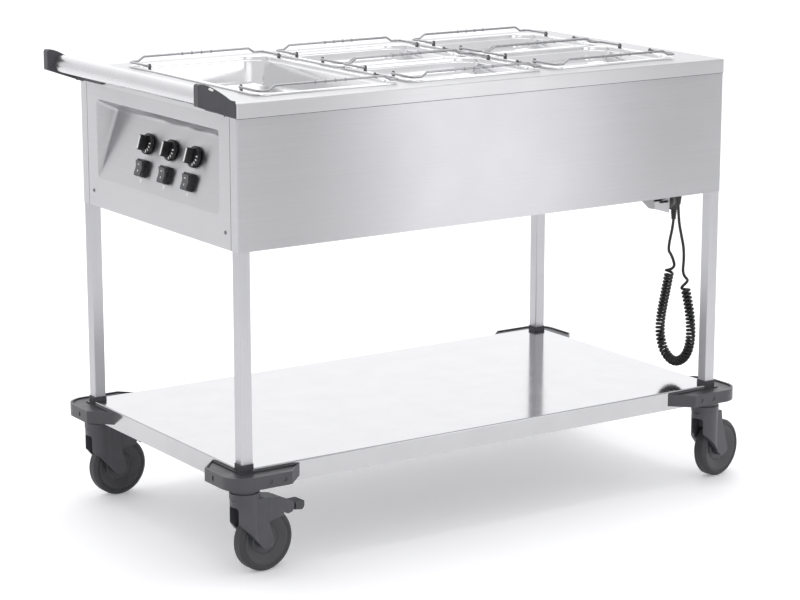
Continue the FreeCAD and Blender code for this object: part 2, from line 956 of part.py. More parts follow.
def switch_frames():
    """Square bezel with the switch's body behind the panel, hollow for the rocker."""
    solids = []
    for y in control_places().values():
        length, width = switch_length, switch_width
        flange = box(-length / 2, length / 2, -width / 2, width / 2, 0, switch_flange)
        inner_length, inner_width = length - switch_wall, width - switch_wall
        bezel = box(
            -inner_length / 2,
            inner_length / 2,
            -inner_width / 2,
            inner_width / 2,
            -switch_body_depth,
            switch_frame_height,
        )
        room_length, room_width = length - 2 * switch_wall, width - 2 * switch_wall
        room = box(
            -room_length / 2,
            room_length / 2,
            -room_width / 2,
            room_width / 2,
            switch_flange,
            switch_frame_height,
        )
        pin = cylinder(
            rocker_pin_radius + pivot_clearance,
            (0, -room_width / 2 - rocker_pin_length - rocker_gap, rocker_axis_height),
            (0, room_width / 2 + rocker_pin_length + rocker_gap, rocker_axis_height),
        )
        solids.append(to_face(cut(fuse(flange, bezel), room, pin), switch_row, y))
    return group(solids)


def rocker(y):
    """Rocking key with a dished top, resting tilted to its off side."""
    half_key = switch_length / 2 - switch_wall - 2 * rocker_gap
    half_wide = switch_width / 2 - switch_wall - rocker_gap
    top, low = rocker_height, rocker_axis_height
    outline = [
        (-half_key, low + 1.0, 0.0),
        (-half_key, top, 1.0),
        (0.0, top - rocker_dish, 0.0),
        (half_key, top, 1.0),
        (half_key, low + 1.0, 0.0),
        (4.0, low - 4.0, 0.0),
        (-4.0, low - 4.0, 0.0),
    ]
    key = side_prism(outline, -half_wide, half_wide)
    pin_reach = half_wide + rocker_gap + rocker_pin_length
    pins = cylinder(
        rocker_pin_radius, (0, -pin_reach, rocker_axis_height), (0, pin_reach, rocker_axis_height)
    )
    key = fuse(key, pins)
    key.rotate(V(0, 0, rocker_axis_height), Y_AXIS, -rocker_tilt)
    return to_face(key, switch_row, y)


# ---- push handle -------------------------------------------------------------------------------


def handle_bar():
    reach = bracket_inner_y + bar_socket
    outer = cylinder(bar_radius, (bar_x, -reach, bar_height), (bar_x, reach, bar_height))
    inner = cylinder(bar_radius - bar_wall, (bar_x, -reach, bar_height), (bar_x, reach, bar_height))
    return cut(outer, inner)


def handle_bracket(side):
    """Moulded arm that rises from the deck's band to hold the bar, with a flange along the end."""
    across = SIDES[side]
    deck_end = -deck_length / 2
    band_bottom = deck_height - deck_band
    tip = deck_end - bracket_end_reach
    outer_y, inner_y = across * deck_depth / 2, across * bracket_inner_y
    y0, y1 = sorted((outer_y, inner_y))
    bracket_end_top = deck_height + bracket_end_rise
    bracket_root_top = deck_height + bracket_root_rise
    middle_z = (bracket_end_top + bracket_root_top) / 2
    crown = V((tip + deck_end) / 2, y0, middle_z + bracket_crown)
    start = V(tip + bracket_nose_radius, y0, bracket_end_top)
    nose = V(tip, y0, bracket_end_top - bracket_nose_radius)
    turn = math.sqrt(0.5)
    nose_mid = V(
        tip + bracket_nose_radius * (1 - turn), y0, bracket_end_top - bracket_nose_radius * (1 - turn)
    )
    root_top, root_bottom = V(deck_end, y0, bracket_root_top), V(deck_end, y0, band_bottom)
    heel = V(tip, y0, deck_height + bracket_end_lift)
    edges = [
        Part.Arc(nose, nose_mid, start).toShape(),
        Part.Arc(start, crown, root_top).toShape(),
        Part.LineSegment(root_top, root_bottom).toShape(),
        Part.LineSegment(root_bottom, heel).toShape(),
        Part.LineSegment(heel, nose).toShape(),
    ]
    arm = Part.Face(Part.Wire(edges)).extrude(V(0, y1 - y0, 0))
    far = inner_y - across * bracket_flange_length
    thick = bracket_flange_thickness
    foot = across * (bracket_inner_y + 1.0)
    outline = [
        (deck_end, foot, 0.0),
        (deck_end - 3 * thick, foot, 0.0),
        (deck_end - 3 * thick, inner_y, 0.0),
        (deck_end - thick, inner_y - across * 2 * thick, 8.0),
        (deck_end - thick, far, 3.0),
        (deck_end, far, 0.0),
    ]
    flange = plan_prism(outline, band_bottom, deck_height + 1.0)
    body = fuse(arm, flange)
    socket_end = inner_y + across * (bar_socket + bar_fit)
    socket = cylinder(
        bar_radius + bar_fit, (bar_x, inner_y - across * 30.0, bar_height), (bar_x, socket_end, bar_height)
    )
    return cut(body, socket)


# ---- castors -----------------------------------------------------------------------------------


def castor_stems():
    """Top ring with its stem up the leg and the pin that the fork turns on, one solid per leg."""
    solids = []
    stem_radius = leg_side / 2 - leg_wall - stem_clearance
    profile = [
        (0, kingpin_bottom),
        (kingpin_radius, kingpin_bottom),
        (kingpin_radius, ring_bottom),
        (ring_radius, ring_bottom),
        (ring_radius, ring_top),
        (neck_radius, ring_top),
        (neck_radius, leg_bottom),
        (stem_radius, leg_bottom),
        (stem_radius, stem_top),
        (0, stem_top),
    ]
    for end in ENDS.values():
        for across in SIDES.values():
            solids.append(revolve(profile, V(end * leg_x, across * leg_y, 0), Z_AXIS))
    return group(solids)


def place_castor(shape, side, end):
    shape = shape.copy()
    shape.rotate(V(0, 0, 0), Z_AXIS, castor_angles[(side, end)])
    shape.translate(V(ENDS[end] * leg_x, SIDES[side] * leg_y, 0))
    return shape


def fork_side(braked):
    """Side view of the fork: its head, its slanted cheek and, on a braked castor, the hood."""
    tip_x, tip_z, radius = castor_trail, wheel_radius, fork_tip_radius
    slant_x, slant_z = fork_nose_slant
    outline = [
        (-fork_head_radius, fork_head_top, 3.0),
        (-fork_head_radius, fork_nose_height, 4.0),
        (-fork_head_radius + slant_x, fork_nose_height - slant_z, 3.0),
        (tip_x - radius * 0.9, tip_z - radius * 1.05, radius * 0.9),
        (tip_x + radius * 1.15, tip_z - radius * 0.75, radius * 0.9),
    ]
    if not braked:
        return outline + [
            (fork_head_radius + 4.0, fork_nose_height + 16.0, 12.0),
            (fork_head_radius, fork_head_top, 3.0),
        ]
    end_x, end_z = hood_end
    return outline + [
        (hood_root[0], hood_root[1], 3.0),
        (end_x + 2.0, end_z - hood_end_radius, 4.0),
        (end_x + hood_end_radius, end_z - 4.0, 4.0),
        (end_x + hood_end_radius, end_z + hood_end_radius - 1.0, 6.0),
        (hood_top_mid[0], hood_top_mid[1], 30.0),
        (fork_head_radius + 2.0, fork_head_top, 4.0),
    ]


def fork_plan(braked):
    """Plan of the fork: round at the head, flat cheeks, narrowing to the end of the hood."""
    half = fork_width / 2
    tail = hood_end_width / 2
    reach = castor_trail + fork_tip_radius + 8.0
    outline = [(0.0, -half, 0.0), (reach, -half, 0.0)]
    if braked:
        end_x = hood_end[0] + hood_end_radius
        outline = [(0.0, -half, 0.0), (castor_trail, -half, 20.0), (end_x, -tail, 3.0)]
    mirrored = [(x, -y, r) for x, y, r in reversed(outline)]
    return outline + mirrored


def castor_fork(side, end):
    braked = end == "left"
    block = side_prism(fork_side(braked), -fork_width, fork_width)
    plan = plan_prism(fork_plan(braked), 0.0, fork_head_top)
    head = Part.makeCylinder(fork_head_radius, fork_head_top)
    fork = block.common(fuse(plan, head))
    axle_z = wheel_radius
    slot = cylinder(
        wheel_radius + fork_slot_gap,
        (castor_trail, -fork_slot / 2, axle_z),
        (castor_trail, fork_slot / 2, axle_z),
    )
    half_notch = fork_notch_width / 2
    notch = plan_prism(
        [
            (-fork_head_radius - 1.0, -half_notch, 0.0),
            (0.0, -half_notch, 0.0),
            (0.0, half_notch, 0.0),
            (-fork_head_radius - 1.0, half_notch, 0.0),
        ],
        wheel_radius,
        fork_notch_top,
    )
    top_edge = edges_where(notch, lambda b: b.ZMin > fork_notch_top - 0.01 and b.XLength > 10)
    notch = notch.makeFillet(6.0, top_edge)
    pin_bore = cylinder(kingpin_radius + pivot_clearance, (0, 0, kingpin_bottom - 1.0), (0, 0, ring_bottom))
    half = fork_width / 2
    bore = cylinder(axle_radius, (castor_trail, -half, axle_z), (castor_trail, half, axle_z))
    sinks = [
        cylinder(
            axle_head_radius,
            (castor_trail, s * (half - axle_head_depth), axle_z),
            (castor_trail, s * (half + 1.0), axle_z),
        )
        for s in (-1, 1)
    ]
    fork = cut(fork, slot, notch, pin_bore, bore, *sinks)
    if braked:
        x, z = hood_end
        half_slot = pedal_slot / 2
        throat = box(x - hood_end_radius, x + 2 * hood_end_radius, -half_slot, half_slot, z - 20, z + 20)
        reach = half_slot + pedal_pin_length + pedal_gap
        pivot = cylinder(pedal_pin_radius + pivot_clearance, (x, -reach, z), (x, reach, z))
        fork = cut(fork, throat, pivot)
    axle = cylinder(axle_radius, (castor_trail, -half, axle_z), (castor_trail, half, axle_z))
    heads = [
        cylinder(
            axle_head_radius,
            (castor_trail, s * (half - axle_head_depth), axle_z),
            (castor_trail, s * half, axle_z),
        )
        for s in (-1, 1)
    ]
    return place_castor(group([fork, fuse(axle, *heads)]), side, end)


def tyre(side, end):
    inner = wheel_radius - tyre_depth
    half = wheel_width / 2
    steps = [
        (inner, rim_width / 2),
        (wheel_radius - tread_radius, half),
        (wheel_radius - 2.0, half - 4.0),
        (wheel_radius, half - tread_radius),
    ]
    profile = steps + [(r, -h) for r, h in reversed(steps)]
    ring = revolve(profile, V(castor_trail, 0, wheel_radius), Y_AXIS)
    return place_castor(ring, side, end)


def wheel_core(side, end):
    """Moulded centre: hub, web with two ring grooves and the rim that the tyre sits on."""
    outer = wheel_radius - tyre_depth
    hub = fork_slot / 2 - fit_gap
    rim, web = rim_width / 2, web_thickness / 2
    ridge = hub_radius + 12.0
    steps = [
        (axle_radius + pivot_clearance, hub),
        (hub_radius, hub),
        (hub_radius + 1.0, web),
        (ridge, web + 1.0),
        (ridge + groove_width, web + 1.0 - groove_depth),
        (outer - groove_width, rim),
        (outer, rim),
    ]
    profile = steps + [(r, -h) for r, h in reversed(steps)]
    core = revolve(profile, V(castor_trail, 0, wheel_radius), Y_AXIS)
    return place_castor(core, side, end)


def brake_pedal(side, end):
    """Foot lever at the end of the hood, turning on trunnions in the hood's walls."""
    x, z = hood_end
    start = x + hood_end_radius
    half = pedal_width / 2
    tongue_half = pedal_slot / 2 - pedal_gap
    low, high = z - pedal_thickness / 2, z + pedal_thickness / 2
    outline = [
        (start - 2.0, low + 2.0, 0.0),
        (pedal_end - 8.0, low - 1.0, 5.0),
        (pedal_end, z - 1.0, 6.0),
        (pedal_end - 4.0, high, 5.0),
        (start - 2.0, high, 0.0),
    ]
    pad = side_prism(outline, -half, half)
    plan = [(x, -half, 0.0), (pedal_end, -half, 6.0), (pedal_end, half, 6.0), (x, half, 0.0)]
    pad = pad.common(plan_prism(plan, low - 2.0, high + 2.0))
    clear = cylinder(hood_end_radius + pedal_clearance, (x, -half, z), (x, half, z))
    pad = cut(pad, clear)
    tongue = box(x, start + 6.0, -tongue_half, tongue_half, z - 4.5, z + 4.5)
    boss = cylinder(pedal_boss_radius, (x, -tongue_half, z), (x, tongue_half, z))
    reach = pedal_slot / 2 + pedal_pin_length
    pins = cylinder(pedal_pin_radius, (x, -reach, z), (x, reach, z))
    return place_castor(fuse(pad, tongue, boss, pins), side, end)


# ---- mains plug, parking bracket, gland and curly cord ------------------------------------------


def parking_bracket():
    """Folded plate under the base with two holes that hold the plug's pins."""
    fold_x, fold_y = park_x, park_fold_y
    far_x, far_y = park_x - park_far_back, park_far_y
    park_bottom = housing_bottom - park_drop
    t = park_sheet
    lean = math.atan2(fold_x - far_x, far_y - fold_y)
    shift = t * math.tan(lean / 2)
    plan = [
        (park_x, park_near, 0.0),
        (park_x + t, park_near, 0.0),
        (park_x + t, fold_y + shift, 0.0),
        (far_x + t * math.cos(lean), far_y + t * math.sin(lean), 0.0),
        (far_x, far_y, 0.0),
        (fold_x, fold_y, 0.0),
    ]
    plate = plan_prism(plan, park_bottom, housing_bottom)
    chamfer_y, rise = park_chamfer
    far = far_y + 10.0
    lift = (far - chamfer_y) * rise
    trim = Part.Face(
        Part.makePolygon(
            [
                V(far_x - 10, chamfer_y, park_bottom),
                V(far_x - 10, far, park_bottom),
                V(far_x - 10, far, park_bottom + lift),
                V(far_x - 10, chamfer_y, park_bottom),
            ]
        )
    ).extrude(V(60, 0, 0))
    flange = box(park_x - park_flange, park_x + t, park_near, fold_y, housing_bottom - t, housing_bottom)
    holes = [
        cylinder(
            plug_pin_radius + fit_gap,
            (park_x - 5.0, plug_y + s * plug_pin_spacing / 2, plug_z),
            (park_x + 5.0, plug_y + s * plug_pin_spacing / 2, plug_z),
        )
        for s in (-1, 1)
    ]
    return cut(fuse(cut(plate, trim), flange), *holes)


def mains_plug():
    """Angled plug: round face against the bracket, grip behind it and a ringed tail downwards."""
    face_x = park_x + park_sheet
    back = face_x + plug_thickness
    profile = [
        (0, 0),
        (plug_radius, 0),
        (plug_radius, plug_thickness * 0.55),
        (plug_radius - plug_back_step, plug_thickness),
        (0, plug_thickness),
    ]
    disc = revolve(profile, V(face_x, plug_y, plug_z), X_AXIS)
    r = plug_outlet_radius
    grip = plan_prism(
        [
            (back - 8.0, plug_y - r, 0.0),
            (plug_outlet_x + r, plug_y - r, r * 0.7),
            (plug_outlet_x + r, plug_y + r, r * 0.7),
            (back - 8.0, plug_y + r, 0.0),
        ],
        plug_outlet_bottom,
        plug_z + plug_radius - 2.0,
    )
    tail_height = plug_outlet_bottom - plug_tail_bottom
    tail = Part.makeCone(
        plug_tail_bottom_radius,
        plug_tail_top_radius,
        tail_height,
        V(plug_outlet_x, plug_y, plug_tail_bottom),
    )
    pitch = tail_height / (plug_tail_rings + 1)
    grooves = []
    for i in range(plug_tail_rings):
        z = plug_tail_bottom + pitch * (i + 0.8)
        low, high = (plug_outlet_x, plug_y, z), (plug_outlet_x, plug_y, z + plug_tail_groove)
        grooves.append(cut(cylinder(plug_radius, low, high), cylinder(plug_tail_core, low, high)))
    pins = []
    for s in (-1, 1):
        y = plug_y + s * plug_pin_spacing / 2
        tip, root = (face_x - plug_pin_length, y, plug_z), (face_x + 1.0, y, plug_z)
        pins.append(cylinder(plug_pin_radius, tip, root))
    return cut(fuse(disc, grip, tail, *pins), *grooves)


def cable_gland():
    """Hexagonal nut under the base, tapered sleeve round the cord and a threaded bush inside."""
    corners = []
    for i in range(6):
        angle = math.radians(60 * i)
        corners.append(
            (gland_x + gland_nut_radius * math.cos(angle), gland_y + gland_nut_radius * math.sin(angle), 0.0)
        )
    nut = plan_prism(corners, housing_bottom - gland_nut_height, housing_bottom)
    nut_bottom = housing_bottom - gland_nut_height
    sleeve = Part.makeCone(
        gland_tip_radius, gland_dome_radius, nut_bottom - gland_bottom, V(gland_x, gland_y, gland_bottom)
    )
    bush = cylinder(
        gland_bushing_radius,
        (gland_x, gland_y, housing_bottom),
        (gland_x, gland_y, housing_bottom + gland_bushing_height),
    )
    return fuse(nut, sleeve, bush)


def biarc(p0, t0, p1, t1):
    """Two arcs from p0 to p1 that leave along t0 and arrive along t1."""
    v, t = p1 - p0, t0 + t1
    k = 2 * (1 - t0.dot(t1))
    vt = v.dot(t)
    d = (-vt + math.sqrt(vt * vt + k * v.dot(v))) / k
    joint = (p0 + t0 * d + p1 - t1 * d) * 0.5
    return [arc_from(p0, t0, joint), arc_from(p1, t1 * -1, joint)]


def arc_from(start, tangent, end):
    """The arc that leaves start along the tangent and passes through end, run from start to end."""
    chord = end - start
    along = V(chord).normalize()
    aside = tangent - along * tangent.dot(along)
    half_turn = tangent.getAngle(along)
    middle = (start + end) * 0.5 + aside.normalize() * (chord.Length / 2 * math.tan(half_turn / 2))
    return Part.Arc(start, middle, end).toShape()


def coil_spine():
    """Points and directions of the curls: a helix round the hanging axis, climbing faster at both ends."""
    axis = Part.BSplineCurve()
    axis.interpolate([V(*p) for p in coil_axis])
    length = axis.length()
    steps = curl_turns * curl_steps_per_turn

    def rate(i):
        edge = min(i, steps - i) / curl_steps_per_turn
        return 1.0 + (curl_end_rate - 1.0) * max(0.0, 1.0 - edge)

    def point(turn):
        """Place of the wire at a turn count, whole or in part."""
        share = progress(turn * curl_steps_per_turn)
        at = axis.parameterAtDistance(length * share)
        forward = axis.tangent(at)[0]
        side = X_AXIS
        up = forward.cross(side)
        angle = 2 * math.pi * turn
        return axis.value(at) + side * (curl_radius * math.cos(angle)) + up * (curl_radius * math.sin(angle))

    weights = [rate(i + 0.5) for i in range(steps)]
    total = sum(weights)
    marks = [0.0]
    for w in weights:
        marks.append(marks[-1] + w / total)

    def progress(i):
        low = min(max(int(math.floor(i)), 0), steps - 1)
        return min(max(marks[low] + (marks[low + 1] - marks[low]) * (i - low), 0.0), 1.0)

    small = 0.02
    places, directions = [], []
    for i in range(steps + 1):
        turn = i / curl_steps_per_turn
        before, after = max(turn - small, 0.0), min(turn + small, float(curl_turns))
        places.append(point(turn))
        directions.append((point(after) - point(before)).normalize())
    return places, directions


def cord_coil(spine):
    places, directions = spine
    start = places[0] - directions[0] * cord_diameter
    end = places[-1] + directions[-1] * cord_diameter
    edges = [Part.LineSegment(start, places[0]).toShape()]
    for i in range(len(places) - 1):
        edges += biarc(places[i], directions[i], places[i + 1], directions[i + 1])
    edges.append(Part.LineSegment(places[-1], end).toShape())
    wire = Part.Wire(edges)
    coil = sweep(wire, start, directions[0], cord_radius, cord_sides)
    report_tube("cord_coil", coil, wire)
    print("cord_coil least gap to itself %.2f mm" % least_gap(places, directions))
    return coil


def least_gap(places, directions):
    """Smallest clear distance between the cord and the cord one turn or more away."""
    samples = []
    for i in range(len(places) - 1):
        for edge in biarc(places[i], directions[i], places[i + 1], directions[i + 1]):
            samples += edge.discretize(9)[:-1]
    per_turn = curl_steps_per_turn * 16
    least = 1e9
    for i, p in enumerate(samples):
        for q in samples[i + per_turn // 2 : i + per_turn * 2]:
            least = min(least, p.distanceToPoint(q))
    return least - cord_diameter


def lead_tube(name, points):
    """A cord's straight runs joined by arcs as large as the runs allow."""
    points = [V(*p) for p in points]
    radii = [0.0]
    for before, here, after in zip(points, points[1:], points[2:]):
        run = min((here - before).Length, (after - here).Length)
        turn = (here - before).getAngle(after - here)
        radii.append(0.45 * run / math.tan(turn / 2))
    radii.append(0.0)
    print(name, "radii", [round(r, 1) for r in radii[1:-1]])
    wire = rounded_path([tuple(p) for p in points], radii)
    tube = sweep(wire, points[0], points[1] - points[0], cord_radius, cord_sides)
    report_tube(name, tube, wire)
    return tube


def report_tube(name, tube, wire):
    ratio = tube.Volume / (polygon_area(cord_radius, cord_sides) * wire.Length)
    print("%s length %.0f mm, volume %.4f of section times length" % (name, wire.Length, ratio))


# ---- the whole trolley -------------------------------------------------------------------------


def build():
    nodes = {
        "top_deck": top_deck(),
        "housing_shell": housing_shell(),
        "control_panel": control_panel(),
        "base_panel": base_panel(),
        "legs": legs(),
        "lower_shelf": lower_shelf(),
        "wells": wells(),
        "heater_plates": heater_plates(),
        "thermostats": thermostats(),
        "switch_frames": switch_frames(),
        "panel_screws": panel_screws(),
        "handle_bar": handle_bar(),
        "castor_stems": castor_stems(),
        "parking_bracket": parking_bracket(),
        "cable_gland": cable_gland(),
        "mains_plug": mains_plug(),
    }
    for side in SIDES:
        nodes["handle_bracket_" + side] = handle_bracket(side)
    for side, end in CORNERS:
        corner = side + "_" + end
        nodes["bumper_" + corner] = bumper(side, end)
        nodes["castor_fork_" + corner] = castor_fork(side, end)
        nodes["tyre_" + corner] = tyre(side, end)
        nodes["wheel_core_" + corner] = wheel_core(side, end)
        if end == "left":
            nodes["brake_pedal_" + corner] = brake_pedal(side, end)
    for place, y in control_places().items():
        nodes["knob_" + place] = knob(y)
        nodes["rocker_" + place] = rocker(y)
    for place, (length, depth, x, y) in PANS.items():
        nodes["pan_" + place] = food_pan(length, depth, x, y)
        for side, (pivot_y, outward) in bail_pivots(length, y).items():
            nodes["bail_%s_%s" % (place, side)] = bail(x, pivot_y, outward)
    spine = coil_spine()
    places, directions = spine
    coil_start = tuple(places[0] - directions[0] * cord_diameter)
    coil_end = tuple(places[-1] + directions[-1] * cord_diameter)
    nodes["cord_coil"] = cord_coil(spine)
    nodes["cord_plug_lead"] = lead_tube("cord_plug_lead", plug_lead + [coil_start])
    nodes["cord_gland_lead"] = lead_tube("cord_gland_lead", [coil_end] + gland_lead)
    return nodes


def main():
    os.makedirs("parts", exist_ok=True)
    for name, shape in build().items():
        shape.exportStep("parts/%s.step" % name)
        print(name, len(shape.Solids), shape.isValid(), round(shape.Volume))


main()
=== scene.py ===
import json
import math

import bmesh
import bpy
from mathutils import Matrix, Vector


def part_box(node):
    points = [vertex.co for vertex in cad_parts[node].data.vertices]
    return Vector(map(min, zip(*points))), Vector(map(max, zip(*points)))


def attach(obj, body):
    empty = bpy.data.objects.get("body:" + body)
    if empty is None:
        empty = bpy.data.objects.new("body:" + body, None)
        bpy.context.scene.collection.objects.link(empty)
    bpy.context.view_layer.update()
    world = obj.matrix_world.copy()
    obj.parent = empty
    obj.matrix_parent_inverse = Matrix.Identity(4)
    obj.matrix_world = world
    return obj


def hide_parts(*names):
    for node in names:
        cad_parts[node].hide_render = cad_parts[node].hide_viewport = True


# Looks of the heated serving trolley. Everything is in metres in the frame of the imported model:
# X along the trolley with the handle at -X, Y across it with the operator's right at -Y, Z up.

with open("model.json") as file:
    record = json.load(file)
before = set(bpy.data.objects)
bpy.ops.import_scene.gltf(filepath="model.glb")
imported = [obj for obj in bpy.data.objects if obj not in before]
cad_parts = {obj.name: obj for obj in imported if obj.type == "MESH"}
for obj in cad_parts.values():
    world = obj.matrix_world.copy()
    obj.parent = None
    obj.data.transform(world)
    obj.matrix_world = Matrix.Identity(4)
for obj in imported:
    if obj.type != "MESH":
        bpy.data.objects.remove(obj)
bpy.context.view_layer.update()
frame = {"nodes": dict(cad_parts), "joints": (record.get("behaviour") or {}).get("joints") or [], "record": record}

MM = 0.001
SIDES = {"front": -1, "rear": 1}
CONTROLS = ("left", "middle", "right")
PANS = ("left", "middle_front", "middle_rear", "right_front", "right_rear")

X_AXIS = Vector((1, 0, 0))
Y_AXIS = Vector((0, 1, 0))
Z_AXIS = Vector((0, 0, 1))


# ---- camera ------------------------------------------------------------------------------------

CAMERA_PLACE = (-2.921, -4.349, 1.596)
CAMERA_YAW = 0.5892
CAMERA_PITCH = 0.2220
CAMERA_LENS = 113.7
CAMERA_SENSOR = 36.0


def make_camera():
    data = bpy.data.cameras.new("camera")
    data.lens = CAMERA_LENS
    data.sensor_width = CAMERA_SENSOR
    camera = bpy.data.objects.new("camera", data)
    camera.location = CAMERA_PLACE
    camera.rotation_euler = (math.pi / 2 - CAMERA_PITCH, 0.0, -CAMERA_YAW)
    bpy.context.scene.collection.objects.link(camera)
    bpy.context.scene.camera = camera


# ---- node helpers ------------------------------------------------------------------------------

NOISE_ROUGHNESS = 0.55
# Noise mostly stays between these two.
NOISE_LOW = 0.3
NOISE_HIGH = 0.7


class Finish:
    """One procedural material: its shader and short ways to add the nodes that feed it."""

    def __init__(self, name, colour, roughness, metallic=0.0):
        self.material = bpy.data.materials.new(name)
        self.material.use_nodes = True
        self.tree = self.material.node_tree
        self.shader = self.tree.nodes["Principled BSDF"]
        self.colour = colour
        self.shader.inputs["Base Color"].default_value = (*colour, 1.0)
        self.shader.inputs["Roughness"].default_value = roughness
        self.shader.inputs["Metallic"].default_value = metallic

    def add(self, kind, **settings):
        node = self.tree.nodes.new(kind)
        for key, value in settings.items():
            setattr(node, key, value)
        return node

    def link(self, source, target):
        self.tree.links.new(source, target)

    def set(self, socket, value):
        self.shader.inputs[socket].default_value = value

    def place(self):
        return self.add("ShaderNodeTexCoord").outputs["Object"]

    def scaled(self, place, scale):
        mapping = self.add("ShaderNodeMapping")
        mapping.inputs["Scale"].default_value = scale
        self.link(place, mapping.inputs["Vector"])
        return mapping.outputs["Vector"]

    def noise(self, place, scale, detail):
        node = self.add("ShaderNodeTexNoise")
        node.inputs["Scale"].default_value = scale
        node.inputs["Detail"].default_value = detail
        node.inputs["Roughness"].default_value = NOISE_ROUGHNESS
        self.link(place, node.inputs["Vector"])
        return node.outputs["Fac"]

    def math(self, operation, first, second=0.0):
        node = self.add("ShaderNodeMath", operation=operation)
        for socket, value in zip(node.inputs, (first, second)):
            if isinstance(value, (int, float)):
                socket.default_value = value
            else:
                self.link(value, socket)
        return node.outputs[0]

    def ranged(self, value, low, high):
        """Spread noise over low to high."""
        node = self.add("ShaderNodeMapRange")
        self.link(value, node.inputs["Value"])
        node.inputs["From Min"].default_value = NOISE_LOW
        node.inputs["From Max"].default_value = NOISE_HIGH
        node.inputs["To Min"].default_value = low
        node.inputs["To Max"].default_value = high
        return node.outputs["Result"]

    def tinted(self, factor, spread):
        """The colour, a little darker and lighter as the factor runs from 0 to 1."""
        node = self.add("ShaderNodeMix", data_type="RGBA")
        self.link(factor, node.inputs["Factor"])
        for socket, change in (("A", -spread), ("B", spread)):
            shade = [min(c * (1 + change), 1.0) for c in self.colour]
            node.inputs[socket].default_value = (*shade, 1.0)
        self.link(node.outputs["Result"], self.shader.inputs["Base Color"])

    def bump(self, height, depth, strength):
        node = self.add("ShaderNodeBump")
        node.inputs["Strength"].default_value = strength
        node.inputs["Distance"].default_value = depth
        self.link(height, node.inputs["Height"])
        self.link(node.outputs["Normal"], self.shader.inputs["Normal"])


# ---- materials ---------------------------------------------------------------------------------

GRAIN_WIDTH = 2600.0
GRAIN_LENGTH = 22.0
STREAK_WIDTH = 300.0
STREAK_LENGTH = 2.5
GRAIN_SHARE = 0.5
BRUSH_DEPTH = 0.04 * MM
BRUSH_STRENGTH = 0.35
BRUSH_ANISOTROPY = 0.9
LYING_SLOPE = 0.7
WIPE_STRETCH = (9.0, 60.0, 60.0)
RIPPLE_DEPTH = 0.08 * MM
PLASTIC_SPREAD = 0.10
PLASTIC_GRAIN = 0.06 * MM
RUBBER_GRAIN = 0.1 * MM


def lies_flat(finish):
    """1 on faces that look up or down, 0 on standing ones."""
    normal = finish.add("ShaderNodeSeparateXYZ")
    finish.link(finish.add("ShaderNodeNewGeometry").outputs["Normal"], normal.inputs[0])
    return finish.math("GREATER_THAN", finish.math("ABSOLUTE", normal.outputs["Z"]), LYING_SLOPE)


def across_brush_lines(finish):
    """The direction square to the brush lines: up on standing faces, across the trolley on lying ones."""
    flat = lies_flat(finish)
    across = finish.add("ShaderNodeCombineXYZ")
    finish.link(flat, across.inputs["Y"])
    finish.link(finish.math("SUBTRACT", 1.0, flat), across.inputs["Z"])
    return across.outputs[0]


def brushed_sheet(name, colour, roughness, spread=0.05, upright=False):
    """Stainless sheet with brush lines along X or Y, or along Z on upright tubes."""
    finish = Finish(name, colour, roughness, metallic=1.0)
    place = finish.place()

    def lines(wide, long):
        if upright:
            return finish.scaled(place, (wide, wide, long))
        standing = finish.scaled(place, (long, long, wide))
        lying = finish.scaled(place, (long, wide, long))
        mix = finish.add("ShaderNodeMix", data_type="VECTOR")
        finish.link(lies_flat(finish), mix.inputs["Factor"])
        finish.link(standing, mix.inputs["A"])
        finish.link(lying, mix.inputs["B"])
        return mix.outputs["Result"]

    finish.set("Anisotropic", BRUSH_ANISOTROPY)
    if upright:
        across_lines = finish.add("ShaderNodeTangent", direction_type="RADIAL", axis="Z").outputs[0]
        finish.link(across_lines, finish.shader.inputs["Tangent"])
    else:
        finish.link(across_brush_lines(finish), finish.shader.inputs["Tangent"])

    grain = finish.noise(lines(GRAIN_WIDTH, GRAIN_LENGTH), 1.0, 2.0)
    streaks = finish.noise(lines(STREAK_WIDTH, STREAK_LENGTH), 1.0, 3.0)
    clouds = finish.noise(place, 5.0, 2.0)
    fine = finish.math("MULTIPLY", grain, GRAIN_SHARE)
    coarse = finish.math("MULTIPLY", streaks, 1.0 - GRAIN_SHARE)
    marks = finish.math("ADD", fine, coarse)
    finish.tinted(finish.ranged(marks, 0.0, 1.0), spread)
    worn = finish.math("ADD", finish.ranged(marks, -0.05, 0.05), finish.ranged(clouds, -0.03, 0.03))
    finish.link(finish.math("ADD", worn, roughness), finish.shader.inputs["Roughness"])
    finish.bump(marks, BRUSH_DEPTH, BRUSH_STRENGTH)
    return finish.material


def polished_steel(name, colour, roughness, smear):
    """Drawn or rolled stainless that mirrors its surroundings, with faint wipe marks."""
    finish = Finish(name, colour, roughness, metallic=1.0)
    place = finish.place()
    wipes = finish.noise(finish.scaled(place, WIPE_STRETCH), 1.0, 3.0)
    clouds = finish.noise(place, 14.0, 3.0)
    finish.tinted(finish.ranged(clouds, 0.0, 1.0), 0.03)
    worn = finish.math("ADD", finish.ranged(wipes, -smear, smear), finish.ranged(clouds, -smear, smear))
    finish.link(finish.math("ADD", worn, roughness), finish.shader.inputs["Roughness"])
    finish.bump(finish.noise(place, 55.0, 2.0), RIPPLE_DEPTH, 0.3)
    return finish.material


def moulded(name, colour, roughness, grain=PLASTIC_GRAIN):
    """Moulded plastic or rubber: fine grain, soft patches of shine and a little dust."""
    finish = Finish(name, colour, roughness)
    place = finish.place()
    patches = finish.noise(place, 30.0, 4.0)
    pebbles = finish.noise(place, 1800.0, 2.0)
    finish.tinted(finish.ranged(patches, 0.0, 1.0), PLASTIC_SPREAD)
    worn = finish.math("ADD", finish.ranged(patches, -0.06, 0.06), finish.ranged(pebbles, -0.04, 0.04))
    finish.link(finish.math("ADD", worn, roughness), finish.shader.inputs["Roughness"])
    finish.bump(pebbles, grain, 0.5)
    return finish.material


